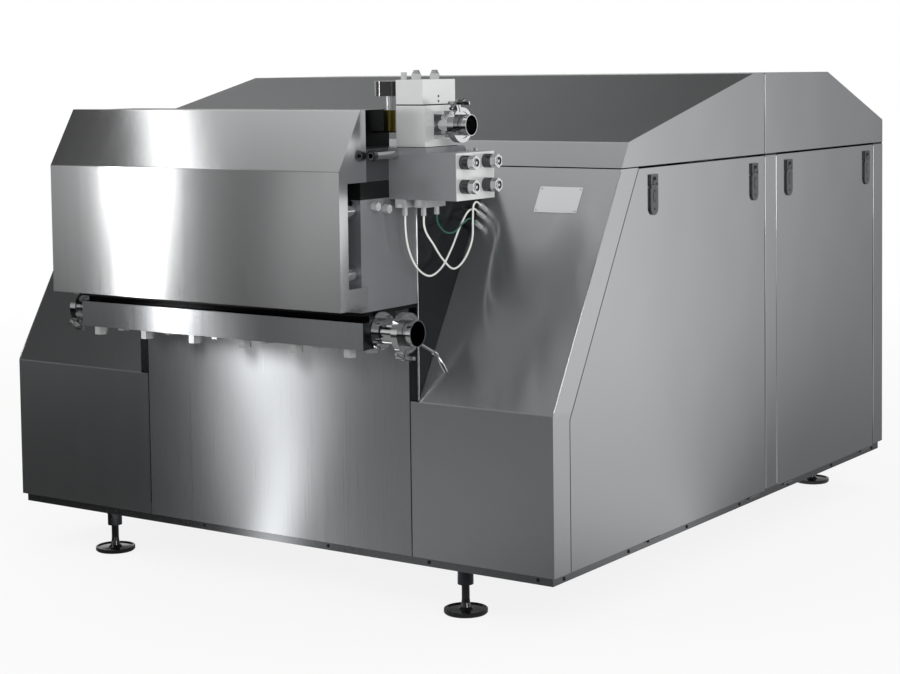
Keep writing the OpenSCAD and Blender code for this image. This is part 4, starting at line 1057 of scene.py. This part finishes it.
# Ends, in cabinet millimetres, of the bead beside the pump block, of the sheets' hems, and of the
# two pieces of the suction clamp's swing bolt
BEAD = ((BLOCK_R + 1, -1, FOLD_Z + 3), (BLOCK_R + 1, -1, 1030))
HEM_Y, HEM_Z, RIDGE_Z = (1139.0, 1212.0, 1912.0), (145.0, 1088.0), (1099.0, 1317.0)
SLOPE_HEM = ((3, FOLD_Z + 5), (SLOPE_RUN - 3, SEAM_Z - 5))
BOLT = ((586, -116, 702), (612, -60, 663), (626, -40, 616))
# Their (radius in millimetres, share of the way) points
BEAD_ROD = ((0, 0), (1.6, 0.002), (2.2, 0.005), (2.2, 0.995), (1.6, 0.998), (0, 1))
HEM_ROD = ((0, 0), (0.9, 0.001), (1.3, 0.003), (1.3, 0.997), (0.9, 0.999), (0, 1))
BOLT_ROD = ((0, 0), (3.6, 0.01), (3.6, 0.82), (6.5, 0.84), (6.5, 0.99), (0, 1))
BOLT_GRIP = ((0, 0), (3.0, 0.01), (3.0, 0.2), (5.5, 0.32), (6.5, 0.6), (5.0, 0.93), (0, 1))


class HOMOGENIZER_OT_trim(Operator):
    """Adds the bead beside the pump block, the sheets' hems and the suction clamp's swing bolt"""

    bl_idname = "homogenizer.trim"
    bl_label = "Trim"

    def execute(self, context):
        bead, hems, lid_hems, bolt = (bmesh.new() for _ in range(4))
        spindle(bead, *BEAD, BEAD_ROD, steps=14)
        ridge_y = (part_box("rear_lid")[0].y - FRONT_Y) / MM + 1
        for x in (-HALF_W, HALF_W):
            for y in HEM_Y:
                spindle(hems, (x, y, HEM_Z[0]), (x, y, HEM_Z[1]), HEM_ROD, steps=12)
            spindle(hems, (x, *SLOPE_HEM[0]), (x, *SLOPE_HEM[1]), HEM_ROD, steps=12)
            spindle(lid_hems, (x, ridge_y, RIDGE_Z[0]), (x, ridge_y, RIDGE_Z[1]), HEM_ROD, steps=12)
        spindle(bolt, BOLT[0], BOLT[1], BOLT_ROD)
        spindle(bolt, BOLT[1], BOLT[2], BOLT_GRIP)
        for name, bm, body in (
            ("wing_bead", bead, MACHINE), ("sheet_hems", hems, MACHINE),
            ("lid_hems", lid_hems, "rear_lid"), ("swing_bolt", bolt, MACHINE),
        ):
            finish_piece(name, bm, "turned", body)
        return {"FINISHED"}


STEPS = (
    HOMOGENIZER_OT_stage, HOMOGENIZER_OT_finishes, HOMOGENIZER_OT_tubes, HOMOGENIZER_OT_latches,
    HOMOGENIZER_OT_plate, HOMOGENIZER_OT_fasteners, HOMOGENIZER_OT_head, HOMOGENIZER_OT_trim,
)


class HOMOGENIZER_PT_sidebar(Panel):
    bl_label = "Homogenizer"
    bl_idname = "HOMOGENIZER_PT_sidebar"
    bl_space_type = "VIEW_3D"
    bl_region_type = "UI"
    bl_category = "Homogenizer"

    def draw(self, context):
        for step in STEPS:
            self.layout.operator(step.bl_idname)


GROUPS = {
    "homogenizer_colours": HomogenizerColours,
    "homogenizer_sizes": HomogenizerSizes,
    "homogenizer_studio": HomogenizerStudio,
}
CLASSES = (*GROUPS.values(), *STEPS, HOMOGENIZER_PT_sidebar)


def register():
    for cls in CLASSES:
        bpy.utils.register_class(cls)
    for name, group in GROUPS.items():
        setattr(bpy.types.Scene, name, PointerProperty(type=group))


def unregister():
    for name in GROUPS:
        delattr(bpy.types.Scene, name)
    for cls in reversed(CLASSES):
        bpy.utils.unregister_class(cls)


def main():
    register()
    make_finishes(bpy.context.scene.homogenizer_colours)
    for step in STEPS:
        group, name = step.bl_idname.split(".")
        getattr(getattr(bpy.ops, group), name)()


if __name__ == "__main__":
    main()
